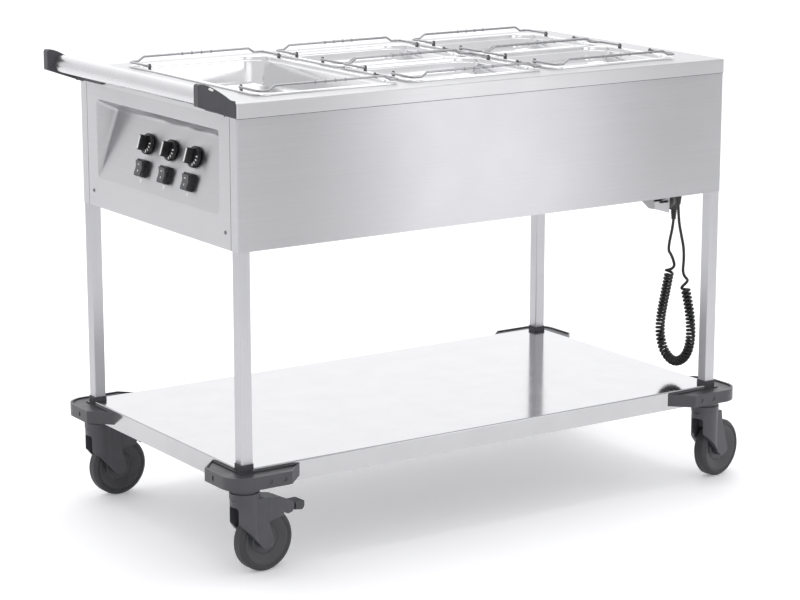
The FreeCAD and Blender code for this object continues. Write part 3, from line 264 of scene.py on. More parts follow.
def plated(name, colour, roughness):
    """Bright plated or polished small metal parts."""
    finish = Finish(name, colour, roughness, metallic=1.0)
    clouds = finish.noise(finish.place(), 120.0, 3.0)
    finish.tinted(finish.ranged(clouds, 0.0, 1.0), 0.06)
    shine = finish.math("ADD", finish.ranged(clouds, -0.05, 0.05), roughness)
    finish.link(shine, finish.shader.inputs["Roughness"])
    return finish.material


def make_materials():
    return {
        "brushed_sheet": brushed_sheet("brushed_sheet", (0.52, 0.52, 0.53), 0.34),
        "shelf_sheet": polished_steel("shelf_sheet", (0.47, 0.47, 0.478), 0.12, 0.02),
        "leg_tube": brushed_sheet("leg_tube", (0.50, 0.50, 0.515), 0.34, upright=True),
        "handle_tube": polished_steel("handle_tube", (0.60, 0.60, 0.61), 0.27, 0.02),
        "pan_steel": polished_steel("pan_steel", (0.80, 0.80, 0.805), 0.17, 0.03),
        "bail_wire": plated("bail_wire", (0.40, 0.40, 0.41), 0.16),
        # Steel painted dark for the pans' lugs: painted shade at the bails' ends.
        "lug_steel_painted_dark": plated("lug_steel_painted_dark", (0.13, 0.13, 0.135), 0.30),
        # A lighter copy of the brushed sheet: painted light for the brighter band round the deck.
        "deck_sheet_painted_light": brushed_sheet("deck_sheet_painted_light", (0.60, 0.60, 0.606), 0.40, spread=0.03),
        "screw_steel": plated("screw_steel", (0.22, 0.22, 0.23), 0.30),
        "zinc_plate": plated("zinc_plate", (0.5, 0.5, 0.52), 0.4),
        "heater_casing": plated("heater_casing", (0.7, 0.7, 0.71), 0.4),
        "thermostat_casing": moulded("thermostat_casing", (0.62, 0.60, 0.55), 0.5),
        "dark_grey_plastic": moulded("dark_grey_plastic", (0.050, 0.050, 0.056), 0.42),
        "castor_grey_plastic": moulded("castor_grey_plastic", (0.055, 0.055, 0.062), 0.42),
        "wheel_grey_plastic": moulded("wheel_grey_plastic", (0.045, 0.045, 0.050), 0.45),
        "tyre_rubber": moulded("tyre_rubber", (0.032, 0.032, 0.035), 0.62, RUBBER_GRAIN),
        "pedal_plastic": moulded("pedal_plastic", (0.040, 0.040, 0.045), 0.42),
        "black_plastic": moulded("black_plastic", (0.012, 0.012, 0.013), 0.30),
        "plug_rubber": moulded("plug_rubber", (0.008, 0.008, 0.009), 0.38),
        "cord_sheath": moulded("cord_sheath", (0.007, 0.007, 0.008), 0.34),
        "key_plastic": moulded("key_plastic", (0.060, 0.060, 0.065), 0.38),
        "white_print": moulded("white_print", (0.75, 0.75, 0.74), 0.5),
        # Near-black plastic for the painted shadow line under the deck's band.
        "painted_shadow": moulded("painted_shadow", (0.10, 0.10, 0.11), 0.6),
    }


# Nodes whose finish in the photograph differs from the rest of their slot.
OWN_FINISH = {
    "lower_shelf": "shelf_sheet",
    # The deck is painted lighter than the housing's sheet: painted light for its brighter band.
    "top_deck": "deck_sheet_painted_light",
    "castor_stems": "castor_grey_plastic",
}


def dress_frame(materials):
    """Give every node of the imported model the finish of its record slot."""
    slots = {part["node"]: part["material_slot"] for part in frame["record"]["subparts"]}
    for name, node in frame["nodes"].items():
        slot = OWN_FINISH.get(name, slots[name])
        node.data.materials.clear()
        node.data.materials.append(materials[slot])


# ---- mesh helpers ------------------------------------------------------------------------------


def new_piece(name, data, body, material):
    piece = bpy.data.objects.new(name, data)
    bpy.context.scene.collection.objects.link(piece)
    data.materials.append(material)
    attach(piece, body)
    return piece


def rounded_ring(half_x, half_y, radius, centre, z, steps):
    """Points round a rectangle with rounded corners, as many whatever its size."""
    points = []
    for turn, (sx, sy) in enumerate(((1, 1), (-1, 1), (-1, -1), (1, -1))):
        cx = centre.x + sx * (half_x - radius)
        cy = centre.y + sy * (half_y - radius)
        for i in range(steps + 1):
            angle = math.pi / 2 * (turn + i / steps)
            points.append(Vector((cx + radius * math.cos(angle), cy + radius * math.sin(angle), z)))
    return points


def skin_rings(mesh, rings):
    """Join rings of as many points each with quads, and close both ends with one face each."""
    rows = [[mesh.verts.new(p) for p in ring] for ring in rings]
    count = len(rows[0])
    for low, high in zip(rows, rows[1:]):
        for i in range(count):
            j = (i + 1) % count
            mesh.faces.new((low[i], low[j], high[j], high[i]))
    mesh.faces.new(list(reversed(rows[0])))
    mesh.faces.new(rows[-1])


def finish_mesh(name, mesh, smooth_angle=35.0):
    bmesh.ops.recalc_face_normals(mesh, faces=mesh.faces)
    data = bpy.data.meshes.new(name)
    mesh.to_mesh(data)
    mesh.free()
    data.shade_smooth()
    data.set_sharp_from_angle(angle=math.radians(smooth_angle))
    return data


def arc_points(centre, radius, start, end, steps):
    """(across, up) points of an arc in degrees."""
    points = []
    for i in range(steps + 1):
        angle = math.radians(start + (end - start) * i / steps)
        points.append((centre[0] + radius * math.cos(angle), centre[1] + radius * math.sin(angle)))
    return points


def rounded_route(points, radii, steps):
    """A route of straight runs with an arc at each corner that has a radius."""
    route = [points[0]]
    for before, here, after, radius in zip(points, points[1:], points[2:], radii):
        back, ahead = (before - here).normalized(), (after - here).normalized()
        half = back.angle(ahead) / 2
        reach = radius / math.tan(half)
        middle = here + (back + ahead).normalized() * (radius / math.sin(half))
        start, end = here + back * reach - middle, here + ahead * reach - middle
        for i in range(steps + 1):
            route.append(middle + start.slerp(end, i / steps).normalized() * radius)
    route.append(points[-1])
    return route


# ---- food pans ---------------------------------------------------------------------------------

PAN_RIM_HEIGHT = 4.0 * MM
PAN_RIM = 12.0 * MM
PAN_SHEET = 1.0 * MM
PAN_RIM_RADIUS = 26.0 * MM
PAN_CORNER_RADIUS = 44.0 * MM
PAN_FLOOR_RADIUS = 15.0 * MM
PAN_TAPER = 6.0 * MM
PAN_SHOULDER_DROP = 9.0 * MM
PAN_SHOULDER = 2.6 * MM
PAN_CORNER_STEPS = 10
LUG_THICKNESS = 3.0 * MM
LUG_WIDTH = 9.0 * MM
LUG_INSET = 9.5 * MM
LUG_SINK = 0.5 * MM
LUG_HEAD_STEP = 15
LUG_SECTIONS = ((-1.0, 0.9), (-0.8, 1.0), (0.8, 1.0), (1.0, 0.9))
RIM_FOOT = 0.2 * MM
RIM_EDGE = 1.6 * MM
RIM_LIP = 3.0 * MM
NECK_INSET = 0.8 * MM
NECK_RISE = 2.0 * MM
SHOULDER_BREAK = 1.2 * MM
SHOULDER_BREAK_SHARE = 0.7
SHOULDER_FALL = 3.5 * MM
FLOOR_RISE = 0.3 * MM
FLOOR_RISE_RUN = 30.0 * MM
UNDER_EDGE = 0.8 * MM
UNDER_TURN = 1.2 * MM
UNDER_LIP_DROP = 4.5 * MM
UNDER_SHOULDER_FALL = 4.0 * MM
CORNER_SHRINK = 0.6
LEAST_PAN_CORNER = 8.0 * MM
BAIL_WIRE = 5.0 * MM
BAIL_LIFT = 6.0 * MM


def pan_profile(depth):
    """(inset, height over the deck) of the pan's inner face, from under the rim down to the floor."""
    top = PAN_RIM_HEIGHT
    edge, lip = RIM_EDGE, RIM_LIP
    profile = [(0.0, RIM_FOOT)]
    profile += arc_points((edge, top - edge), edge, 180, 90, 4)
    profile += [(PAN_RIM - lip, top)]
    profile += arc_points((PAN_RIM - lip, top - lip), lip, 90, 0, 5)[1:]
    shoulder = top - PAN_SHOULDER_DROP
    wall = PAN_RIM + PAN_SHEET
    profile += [(wall - NECK_INSET, shoulder + NECK_RISE), (wall, shoulder)]
    profile += [(wall + PAN_SHOULDER * SHOULDER_BREAK_SHARE, shoulder - SHOULDER_BREAK)]
    profile += [(wall + PAN_SHOULDER, shoulder - SHOULDER_FALL)]
    floor = top - depth + PAN_SHEET
    start = wall + PAN_SHOULDER + PAN_TAPER + PAN_FLOOR_RADIUS
    profile += arc_points((start, floor + PAN_FLOOR_RADIUS), PAN_FLOOR_RADIUS, 180, 270, 8)
    profile += [(start + FLOOR_RISE_RUN, floor + FLOOR_RISE)]
    return profile


def pan_underside(depth):
    """(inset, height over the deck) of the pan's outer face, from the rim's edge down to the floor."""
    top, wall = PAN_RIM_HEIGHT, PAN_RIM
    shoulder = top - PAN_SHOULDER_DROP
    profile = [(UNDER_EDGE, RIM_FOOT), (UNDER_TURN, top - RIM_EDGE), (wall - RIM_LIP, top - PAN_SHEET)]
    profile += [(wall, top - UNDER_LIP_DROP), (wall, shoulder)]
    profile += [(wall + PAN_SHOULDER, shoulder - UNDER_SHOULDER_FALL)]
    start = wall + PAN_SHOULDER + PAN_TAPER + PAN_FLOOR_RADIUS
    profile += arc_points((start, top - depth + PAN_FLOOR_RADIUS), PAN_FLOOR_RADIUS, 180, 270, 6)
    return profile


def pan_radius(inset):
    """Corner radius in plan at an inset from the rim's edge."""
    share = min(inset / PAN_RIM, 1.0)
    radius = PAN_RIM_RADIUS * (1 - share) + PAN_CORNER_RADIUS * share
    return max(radius - max(inset - PAN_RIM, 0.0) * CORNER_SHRINK, LEAST_PAN_CORNER)


def pan_lug(mesh, x, y, base, top):
    """Upright ear on the rim, with a rounded head where the wire enters."""
    half, thick = LUG_WIDTH / 2, LUG_THICKNESS / 2
    outline = [(-half, base), (-half, top)]
    for angle in range(180 - LUG_HEAD_STEP, 0, -LUG_HEAD_STEP):
        turn = math.radians(angle)
        outline.append((half * math.cos(turn), top + half * math.sin(turn)))
    outline += [(half, top), (half, base)]
    rings = []
    for share, shrink in LUG_SECTIONS:
        ring = []
        for u, w in outline:
            height = base + (w - base) * (1 + shrink) / 2
            ring.append(Vector((x + share * thick, y + u * shrink, height)))
        rings.append(ring)
    skin_rings(mesh, rings)


def make_pan(name, materials):
    node = "pan_" + name
    low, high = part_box(node)
    deck_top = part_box("top_deck")[1].z
    centre = (low + high) / 2
    half_x, half_y = (high.x - low.x) / 2, (high.y - low.y) / 2
    depth = deck_top + PAN_RIM_HEIGHT - low.z
    mesh = bmesh.new()
    skin_rings(mesh, [
        rounded_ring(half_x - inset, half_y - inset, pan_radius(inset), centre, deck_top + height,
                     PAN_CORNER_STEPS)
        for inset, height in pan_underside(depth)[::-1] + pan_profile(depth)
    ])
    axis_height = deck_top + PAN_RIM_HEIGHT + BAIL_LIFT
    lugs = bmesh.new()
    for side, sign in SIDES.items():
        bail_low, bail_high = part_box("bail_%s_%s" % (name, side))
        pivot = bail_high.y - BAIL_WIRE / 2 if sign < 0 else bail_low.y + BAIL_WIRE / 2
        for across in (-1, 1):
            x = centre.x + across * (half_x - LUG_INSET)
            pan_lug(lugs, x, pivot, deck_top + PAN_RIM_HEIGHT - LUG_SINK, axis_height)
    # The lugs' dark steel is painted shade.
    new_piece("pan_lugs_" + name, finish_mesh("pan_lugs_" + name, lugs), node,
              materials["lug_steel_painted_dark"])
    piece = new_piece("pan_shell_" + name, finish_mesh("pan_shell_" + name, mesh), node,
                      materials["pan_steel"])
    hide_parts(node)


# ---- pan bails ---------------------------------------------------------------------------------

BAIL_RIBS = 4
BAIL_RIB_PITCH = 23.0 * MM
BAIL_RIB_WIDTH = 2.5 * MM
BAIL_RIB_SWELL = 1.5
BAIL_FOOT = 21.0 * MM
BAIL_STEP_WIDTH = 13.0 * MM
BAIL_STEP_HEIGHT = 8.5 * MM
BAIL_PIN = 7.5 * MM
BAIL_BEND_STEPS = 6
BAIL_BENDS = [4.5 * MM, 9.0 * MM, 5.0 * MM, 5.0 * MM]
BAIL_RIB_SHAPE = ((-0.5, 1.0), (-0.32, BAIL_RIB_SWELL), (0.32, BAIL_RIB_SWELL), (0.5, 1.0))


def add_run(curve, points, swells):
    """One straight-edged run of wire, as thick at each point as its swell says."""
    spline = curve.splines.new("POLY")
    spline.points.add(len(points) - 1)
    for target, point, swell in zip(spline.points, points, swells):
        target.co = (*point, 1.0)
        target.radius = swell


def make_bail(pan, side, materials):
    """Bent wire handle: pins in the lugs, two arms, and a raised middle with finger ribs."""
    node = "bail_%s_%s" % (pan, side)
    sign = SIDES[side]
    low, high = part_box(node)
    wire = BAIL_WIRE / 2
    x = (low.x + high.x) / 2
    arm = (high.x - low.x) / 2 - wire
    z = low.z + wire
    near, far = (high.y - wire, low.y + wire) if sign < 0 else (low.y + wire, high.y - wire)
    foot = arm - BAIL_FOOT
    step = foot - BAIL_STEP_WIDTH
    top = z + BAIL_STEP_HEIGHT
    half = [(arm - BAIL_PIN, near, z), (arm, near, z), (arm, far, z), (foot, far, z), (step, far, top)]
    whole = [Vector((x + u, v, w)) for u, v, w in half]
    whole += [Vector((x - u, v, w)) for u, v, w in reversed(half)]
    curve = bpy.data.curves.new("wire_" + node, "CURVE")
    curve.dimensions = "3D"
    curve.bevel_depth = wire
    curve.bevel_resolution = 4
    curve.use_fill_caps = True
    route = rounded_route(whole, BAIL_BENDS + BAIL_BENDS[::-1], BAIL_BEND_STEPS)
    add_run(curve, route, [1.0] * len(route))
    for i in range(BAIL_RIBS):
        centre = x + (i - (BAIL_RIBS - 1) / 2) * BAIL_RIB_PITCH
        places = [(centre + share * BAIL_RIB_WIDTH, far, top) for share, _ in BAIL_RIB_SHAPE]
        add_run(curve, places, [swell for _, swell in BAIL_RIB_SHAPE])
    piece = new_piece("wire_" + node, curve, node, materials["bail_wire"])
    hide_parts(node)


# ---- controls ----------------------------------------------------------------------------------

# Heights in this section stand square on the sloping face.
KNOB_RADIUS = 21.5 * MM
KNOB_BASE = 1.0 * MM
KNOB_DISC_TOP = 9.0 * MM
KNOB_JOINT_HEIGHT = 10.0 * MM
KNOB_STEPS = 56
DIAL_FOOT_SHARE = 0.9
DIAL_FOOT_BEVEL = 0.6 * MM
DIAL_MIDDLE = 6.0 * MM
# (inset from the dial's radius, drop from its top) in millimetres, from the skirt over to the dished face.
DIAL_RIM_MM = ((0.0, 2.2), (0.7, 0.7), (2.0, 0.0), (3.0, 0.0), (3.6, 0.4))
GRIP_LENGTH = 31.0 * MM
GRIP_WIDTH = 9.0 * MM
GRIP_TOP = 25.4 * MM
GRIP_SINK = 1.0 * MM
GRIP_CORNER = 3.0 * MM
GRIP_BEVEL = 1.2 * MM
STRIP_END_GAP = 1.5 * MM
STRIP_SIDE_GAP = 2.2 * MM
STRIP_SINK = 0.6 * MM
STRIP_PROUD = 0.5 * MM
STRIP_CORNER = 1.5 * MM
STRIP_BEVEL = 0.3 * MM
TICK_RADIUS = 16.5 * MM
TICK_HALF_LENGTH = 3.0 * MM
TICK_HALF_WIDTH = 1.3 * MM
TICK_ANGLES = (84, 108, 132, 156)
TICK_SINK = 0.5 * MM
TICK_PROUD = 0.25 * MM

SWITCH_LENGTH = 35.0 * MM
SWITCH_WIDTH = 31.0 * MM
SWITCH_HEIGHT = 11.0 * MM
SWITCH_WALL = 2.6 * MM
SWITCH_JOINT_HEIGHT = 10.0 * MM
BEZEL_FOOT = 0.1 * MM
# (drop from the bezel's top, inset) in millimetres, up its outer edge.
BEZEL_EDGE_MM = ((1.6, 0.0), (0.5, 0.5), (0.0, 1.4))
BEZEL_THROAT = 4.5 * MM
BEZEL_DRAFT = 0.2 * MM
BEZEL_CORNER = 1.6 * MM
BEZEL_LEAST_CORNER = 0.5 * MM
KEY_END_GAP = 0.7 * MM
KEY_SIDE_GAP = 0.5 * MM
KEY_SINK = 4.0 * MM
KEY_TOP = 14.5 * MM
KEY_DIP = 2.6 * MM
KEY_CHAMFER = 0.8 * MM
KEY_EDGE = 0.6 * MM
KEY_TILT = math.radians(-5.0)
# Each mark: from and to along the key, as shares of its half length, and half its width.
KEY_MARKS = ((-0.62, -0.30, 1.0 * MM), (0.40, 0.52, 2.6 * MM))
KEY_MARK_RISE = KEY_TOP - KEY_DIP * 0.45
KEY_MARK_SINK = 0.6 * MM
KEY_MARK_PROUD = 0.15 * MM
# A small white triangle on the steel under each switch: a painted reflection.
GLARE_NEAR = 3.0 * MM
GLARE_FAR = 13.0 * MM
GLARE_HALF_WIDTH = 6.0 * MM
GLARE_LEVELS = (0.02 * MM, 0.2 * MM)
BLOCK_CORNER_STEPS = 5
LEAST_CORNER = 0.2 * MM
BEVEL_SHOULDER = 0.3


def joint(name):
    return next(j for j in frame["joints"] if j["name"] == name)


def face_place(joint_name, height):
    """Placement on the sloping face: local X up the slope, local Y across, local Z out of it."""
    out = -Vector(joint("turn_knob_left")["axis"]).normalized()
    up = Y_AXIS.cross(out)
    turn = Matrix((up, Y_AXIS, out)).transposed().to_4x4()
    return Matrix.Translation(Vector(joint(joint_name)["pos_m"]) - out * height) @ turn


def lathe(mesh, profile, steps):
    """Turn (radius, height) points round the local Z axis and close both ends."""
    rings = []
    for radius, height in profile:
        ring = []
        for i in range(steps):
            angle = 2 * math.pi * i / steps
            ring.append(Vector((radius * math.cos(angle), radius * math.sin(angle), height)))
        rings.append(ring)
    skin_rings(mesh, rings)


def block(mesh, low, high, radius=0.0, bevel=0.0):
    """Upright block with rounded corners in plan and a bevel round its top."""
    centre = Vector(((low[0] + high[0]) / 2, (low[1] + high[1]) / 2, 0))
    half_x, half_y = (high[0] - low[0]) / 2, (high[1] - low[1]) / 2
    levels = [(low[2], 0.0), (high[2] - bevel, 0.0)]
    if bevel:
        shoulder = bevel * BEVEL_SHOULDER
        levels += [(high[2] - shoulder, shoulder), (high[2], bevel)]
    rings = []
    for z, inset in levels:
        corner = max(radius - inset, LEAST_CORNER)
        rings.append(rounded_ring(half_x - inset, half_y - inset, corner, centre, z, BLOCK_CORNER_STEPS))
    skin_rings(mesh, rings)


def placed(mesh, matrix):
    bmesh.ops.transform(mesh, matrix=matrix, verts=mesh.verts)
    return mesh


def add_control(name, mesh, body, material):
    """A finished piece of the controls, on the given body with the given material."""
    return new_piece(name, finish_mesh(name, mesh), body, material)


def make_knob(place, materials):
    """Dial with a rounded skirt, a blade to grip, a light strip along the blade and ticks on the dial."""
    node = "knob_" + place
    where = face_place("turn_knob_" + place, KNOB_JOINT_HEIGHT)
    half, wide, top = GRIP_LENGTH / 2, GRIP_WIDTH / 2, KNOB_DISC_TOP
    profile = [(KNOB_RADIUS * DIAL_FOOT_SHARE, KNOB_BASE), (KNOB_RADIUS, KNOB_BASE + DIAL_FOOT_BEVEL)]
    profile += [(KNOB_RADIUS - inset * MM, top - drop * MM) for inset, drop in DIAL_RIM_MM]
    profile += [(DIAL_MIDDLE, profile[-1][1])]
    mesh = bmesh.new()
    lathe(mesh, profile, KNOB_STEPS)
    block(mesh, (-half, -wide, top - GRIP_SINK), (half, wide, GRIP_TOP), GRIP_CORNER, GRIP_BEVEL)
    dial = add_control("dial_" + place, placed(mesh, where), node, materials["black_plastic"])
    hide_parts(node)
    mesh = bmesh.new()
    reach, breadth = half - STRIP_END_GAP, wide - STRIP_SIDE_GAP
    block(mesh, (-reach, -breadth, GRIP_TOP - STRIP_SINK), (reach, breadth, GRIP_TOP + STRIP_PROUD),
          STRIP_CORNER, STRIP_BEVEL)
    add_control("pointer_" + place, placed(mesh, where), node, materials["white_print"])
    mesh = bmesh.new()
    for angle in TICK_ANGLES:
        earlier = set(mesh.verts)
        block(mesh, (TICK_RADIUS - TICK_HALF_LENGTH, -TICK_HALF_WIDTH, top - TICK_SINK),
              (TICK_RADIUS + TICK_HALF_LENGTH, TICK_HALF_WIDTH, top + TICK_PROUD))
        turn = Matrix.Rotation(-math.radians(angle), 4, "Z")
        bmesh.ops.transform(mesh, matrix=turn, verts=[v for v in mesh.verts if v not in earlier])
    add_control("ticks_" + place, placed(mesh, where), node, materials["white_print"])


def make_bezel(mesh):
    """Frame of the switch: up its outer edge, over the top and down into the opening."""
    levels = [(BEZEL_FOOT, 0.0)]
    levels += [(SWITCH_HEIGHT - drop * MM, inset * MM) for drop, inset in BEZEL_EDGE_MM]
    levels += [(SWITCH_HEIGHT, SWITCH_WALL), (SWITCH_HEIGHT - BEZEL_THROAT, SWITCH_WALL + BEZEL_DRAFT)]
    half_x, half_y = SWITCH_LENGTH / 2, SWITCH_WIDTH / 2
    rings = []
    for height, inset in levels:
        corner = max(BEZEL_CORNER - inset, BEZEL_LEAST_CORNER)
        rings.append(rounded_ring(half_x - inset, half_y - inset, corner, Vector((0, 0, 0)), height, 4))
    skin_rings(mesh, rings)


def make_key(mesh, half, wide):
    """Rocker key with a shallow V along the slope and eased sides."""
    low, dip, chamfer = SWITCH_HEIGHT - KEY_SINK, KEY_TOP - KEY_DIP, KEY_CHAMFER
    right = [(chamfer, dip), (half - chamfer, KEY_TOP), (half, KEY_TOP - chamfer), (half, low)]
    outline = [(-x, z) for x, z in reversed(right)] + right
    rings = []
    for y, drop in ((-wide, KEY_EDGE), (-wide + KEY_EDGE, 0.0), (wide - KEY_EDGE, 0.0), (wide, KEY_EDGE)):
        rings.append([Vector((x, y, z - (drop if z > low else 0.0))) for x, z in outline])
    skin_rings(mesh, rings)


def make_switch(place, materials):
    """Square rocker switch: bevelled bezel, tilted key with its marks, and a painted reflection under it, a small
    white triangle.
    """
    node = "rocker_" + place
    where = face_place("press_rocker_" + place, SWITCH_JOINT_HEIGHT)
    mesh = bmesh.new()
    make_bezel(mesh)
    bezel = add_control("bezel_" + place, placed(mesh, where), "frame", materials["black_plastic"])
    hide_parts("switch_frames")
    pivot = Matrix.Translation(Vector((0, 0, SWITCH_JOINT_HEIGHT)))
    rock = where @ pivot @ Matrix.Rotation(KEY_TILT, 4, "Y") @ pivot.inverted()
    half = SWITCH_LENGTH / 2 - SWITCH_WALL - KEY_END_GAP
    mesh = bmesh.new()
    make_key(mesh, half, SWITCH_WIDTH / 2 - SWITCH_WALL - KEY_SIDE_GAP)
    key = add_control("key_" + place, placed(mesh, rock), node, materials["key_plastic"])
    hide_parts(node)
    mesh = bmesh.new()
    for start, end, width in KEY_MARKS:
        block(mesh, (start * half, -width, KEY_MARK_RISE - KEY_MARK_SINK),
              (end * half, width, KEY_MARK_RISE + KEY_MARK_PROUD))
    add_control("key_marks_" + place, placed(mesh, rock), node, materials["white_print"])
    # Painted reflection: a small white triangle on the steel under the switch.
    mesh = bmesh.new()
    base, tip = -SWITCH_LENGTH / 2 - GLARE_NEAR, -SWITCH_LENGTH / 2 - GLARE_FAR
    triangle = [(tip, 0.0), (base, -GLARE_HALF_WIDTH), (base, GLARE_HALF_WIDTH)]
    skin_rings(mesh, [[Vector((x, y, z)) for x, y in triangle] for z in GLARE_LEVELS])
    add_control("switch_glare_" + place, placed(mesh, where), "frame", materials["white_print"])


# ---- handle brackets ---------------------------------------------------------------------------

BRACKET_ARM = 18.0 * MM
ARM_SECTIONS = ((0.0, 1.2 * MM), (0.06, 0.0), (0.94, 0.0), (1.0, 1.2 * MM))
ARM_BEVEL_BACK = 0.2
ARM_BEVEL_UP = 0.8
FLANGE = 6.0 * MM
FLANGE_LIFT = 4.5 * MM
FLANGE_DROP = 42.0 * MM
FLANGE_GAP = 0.2 * MM
FLANGE_END = 2.0 * MM
# Steps from the arm to the flange's edge: back from that edge, and along it from the arm.
FLANGE_BLEND_MM = ((-10.0, -0.5), (-3.0, 7.0), (0.0, 16.0))
# The small white oval on each arm's outer face, just under its crown, is a painted highlight.
HIGHLIGHT_ALONG = 27.0 * MM
HIGHLIGHT_HEIGHT = 60.0 * MM
HIGHLIGHT_SINK = 1.0 * MM
HIGHLIGHT_PROUD = 0.4 * MM
HIGHLIGHT_BEVEL = 0.3 * MM
HIGHLIGHT_HALF_LENGTH = 5.5 * MM
HIGHLIGHT_HALF_HEIGHT = 2.2 * MM
HIGHLIGHT_TILT = math.radians(24.0)
# In millimetres from the low front corner of the bracket's box: where the outline's front part ends,
# where its underside ends, and its (along, up) points.
CROWN_FRONT = 40.0
CROWN_LOW = 32.0
BRACKET_CROWN = [
    (0.0, 29.5),
    (0.0, 66.0),
    (1.4, 69.6),
    (5.0, 71.0),
    (13.5, 70.0),
    (22.5, 66.8),
    (31.5, 62.4),
    (43.5, 55.2),
    (55.5, 47.2),
    (62.5, 42.0),
    (67.5, 38.0),
    (72.5, 35.4),
    (79.0, 34.0),
    (79.0, 1.0),
]


def bracket_ring(low, y, inset):
    """The arm's outline at one place: drawn in by the inset in front, and by shares of it elsewhere."""
    ring = []
    for x, z in BRACKET_CROWN:
        back = inset if x < CROWN_FRONT else -inset * ARM_BEVEL_BACK
        rise = inset if z < CROWN_LOW else -inset
        ring.append(Vector((low.x + x * MM + back, y, low.z + z * MM + rise * ARM_BEVEL_UP)))
    return ring


def make_bracket(side, materials):
    """Arm with a crowned back that drops to the deck, and a thin flange along the deck's end."""
    node = "handle_bracket_" + side
    sign = SIDES[side]
    low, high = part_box(node)
    outer, far = (low.y, high.y) if sign < 0 else (high.y, low.y)
    inner = outer - sign * BRACKET_ARM
    mesh = bmesh.new()
    skin_rings(mesh, [
        bracket_ring(low, outer + (inner - outer) * share, inset) for share, inset in ARM_SECTIONS
    ])
    back = high.x - FLANGE_GAP
    edge = high.x - FLANGE
    plan = [(edge + x * MM, inner - sign * along * MM) for x, along in FLANGE_BLEND_MM]
    plan += [(edge, far + sign * FLANGE_END), (edge + FLANGE_END, far), (back, far), (back, plan[0][1])]
    levels = (low.z + FLANGE_LIFT, high.z - FLANGE_DROP)
    skin_rings(mesh, [[Vector((x, y, z)) for x, y in plan] for z in levels])
    arm = new_piece("bracket_arm_" + side, finish_mesh("bracket_arm_" + side, mesh, 30.0), "frame",
                    materials["dark_grey_plastic"])
    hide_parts(node)
    # Painted highlight: a small white oval on the arm's outer face, just under its crown.
    mesh = bmesh.new()
    block(mesh, (-HIGHLIGHT_HALF_LENGTH, -HIGHLIGHT_HALF_HEIGHT, -HIGHLIGHT_SINK),
          (HIGHLIGHT_HALF_LENGTH, HIGHLIGHT_HALF_HEIGHT, HIGHLIGHT_PROUD), HIGHLIGHT_HALF_HEIGHT - 0.1 * MM, HIGHLIGHT_BEVEL)
    turn = Matrix((X_AXIS, Z_AXIS, Y_AXIS * sign)).transposed().to_4x4()
    spot = Vector((low.x + HIGHLIGHT_ALONG, outer, low.z + HIGHLIGHT_HEIGHT))
    placed(mesh, Matrix.Translation(spot) @ turn @ Matrix.Rotation(-HIGHLIGHT_TILT, 4, "Z"))
    new_piece("bracket_highlight_" + side, finish_mesh("bracket_highlight_" + side, mesh), "frame",
              materials["white_print"])


# ---- painted shadow line under the deck's band -------------------------------------------------

SHADOW_LINE_HEIGHT = 1.2 * MM
SHADOW_LINE_REACH = 0.5 * MM
SHADOW_LINE_ROOT = 0.3 * MM
SHADOW_LINE_CORNER = 2.0 * MM


def make_band_shadow_line(materials):
    """Painted shadow: dark strip where the deck's folded band ends over the housing, on all sides but the
    operator's.
    """
    low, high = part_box("housing_shell")
    band_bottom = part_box("top_deck")[0].z
    centre = (low + high) / 2
    half_x, half_y = (high.x - low.x) / 2, (high.y - low.y) / 2
    corners = []
    bottom = band_bottom - SHADOW_LINE_HEIGHT
    section = (
        (-SHADOW_LINE_ROOT, band_bottom),
        (SHADOW_LINE_REACH, band_bottom),
        (SHADOW_LINE_REACH, bottom),
        (-SHADOW_LINE_ROOT, bottom),
    )
    for grow, z in section:
        corners.append(rounded_ring(half_x + grow, half_y + grow, SHADOW_LINE_CORNER + grow, centre, z, 4))
    sections = list(zip(*corners))
    half_way = len(sections) // 2
    mesh = bmesh.new()
    skin_rings(mesh, sections[half_way:] + sections[:half_way])
    # The strip is painted shadow, not a real part.
    new_piece("band_shadow_line", finish_mesh("band_shadow_line", mesh), "frame", materials["painted_shadow"])


# ---- mains cord --------------------------------------------------------------------------------

CORD_DIAMETER = 6.4 * MM
CURL_RADIUS = 7.8 * MM
CURL_TURNS = 52
CURL_END_RATE = 5.0
CURL_POINTS = 16
EXIT_STEP = 8.0 * MM
EXIT_GROWTH = 1.5
PLUG_LEAD = [
    (578.0, -186.0, 557.0),
    (577.0, -184.5, 536.0),
    (573.0, -181.0, 511.0),
    (569.0, -181.5, 487.0),
]
COIL_AXIS = [
    (568.0, -193.0, 462.0),
    (568.0, -178.0, 400.0),
    (568.0, -162.0, 338.0),
    (568.0, -160.0, 296.0),
    (568.0, -176.0, 258.0),
    (568.0, -213.0, 241.0),
    (568.0, -251.0, 262.0),
    (568.0, -266.0, 304.0),
    (568.0, -262.0, 355.0),
    (568.0, -249.0, 398.0),
    (568.0, -236.0, 434.0),
]
GLAND_LEAD = [
    (569.5, -234.0, 472.0),
    (561.0, -243.0, 504.0),
    (555.0, -240.0, 534.0),
    (550.0, -236.0, 566.0),
    (549.0, -235.0, 600.0),
]


def metres(points):
    return [Vector(p) * MM for p in points]


def smooth_spline(curve, points):
    spline = curve.splines.new("NURBS")
    spline.points.add(len(points) - 1)
    for target, point in zip(spline.points, points):
        target.co = (*point, 1.0)
    spline.order_u = 3
    spline.use_endpoint_u = True


def read_line(points):
    """Points along the smooth line that a route's points control."""
    curve = bpy.data.curves.new("route", "CURVE")
    curve.dimensions = "3D"
    curve.resolution_u = 24
    smooth_spline(curve, points)
    holder = bpy.data.objects.new("route", curve)
    mesh = bpy.data.meshes.new_from_object(holder)
    line = [v.co.copy() for v in mesh.vertices]
    bpy.data.objects.remove(holder)
    bpy.data.meshes.remove(mesh)
    bpy.data.curves.remove(curve)
    return line


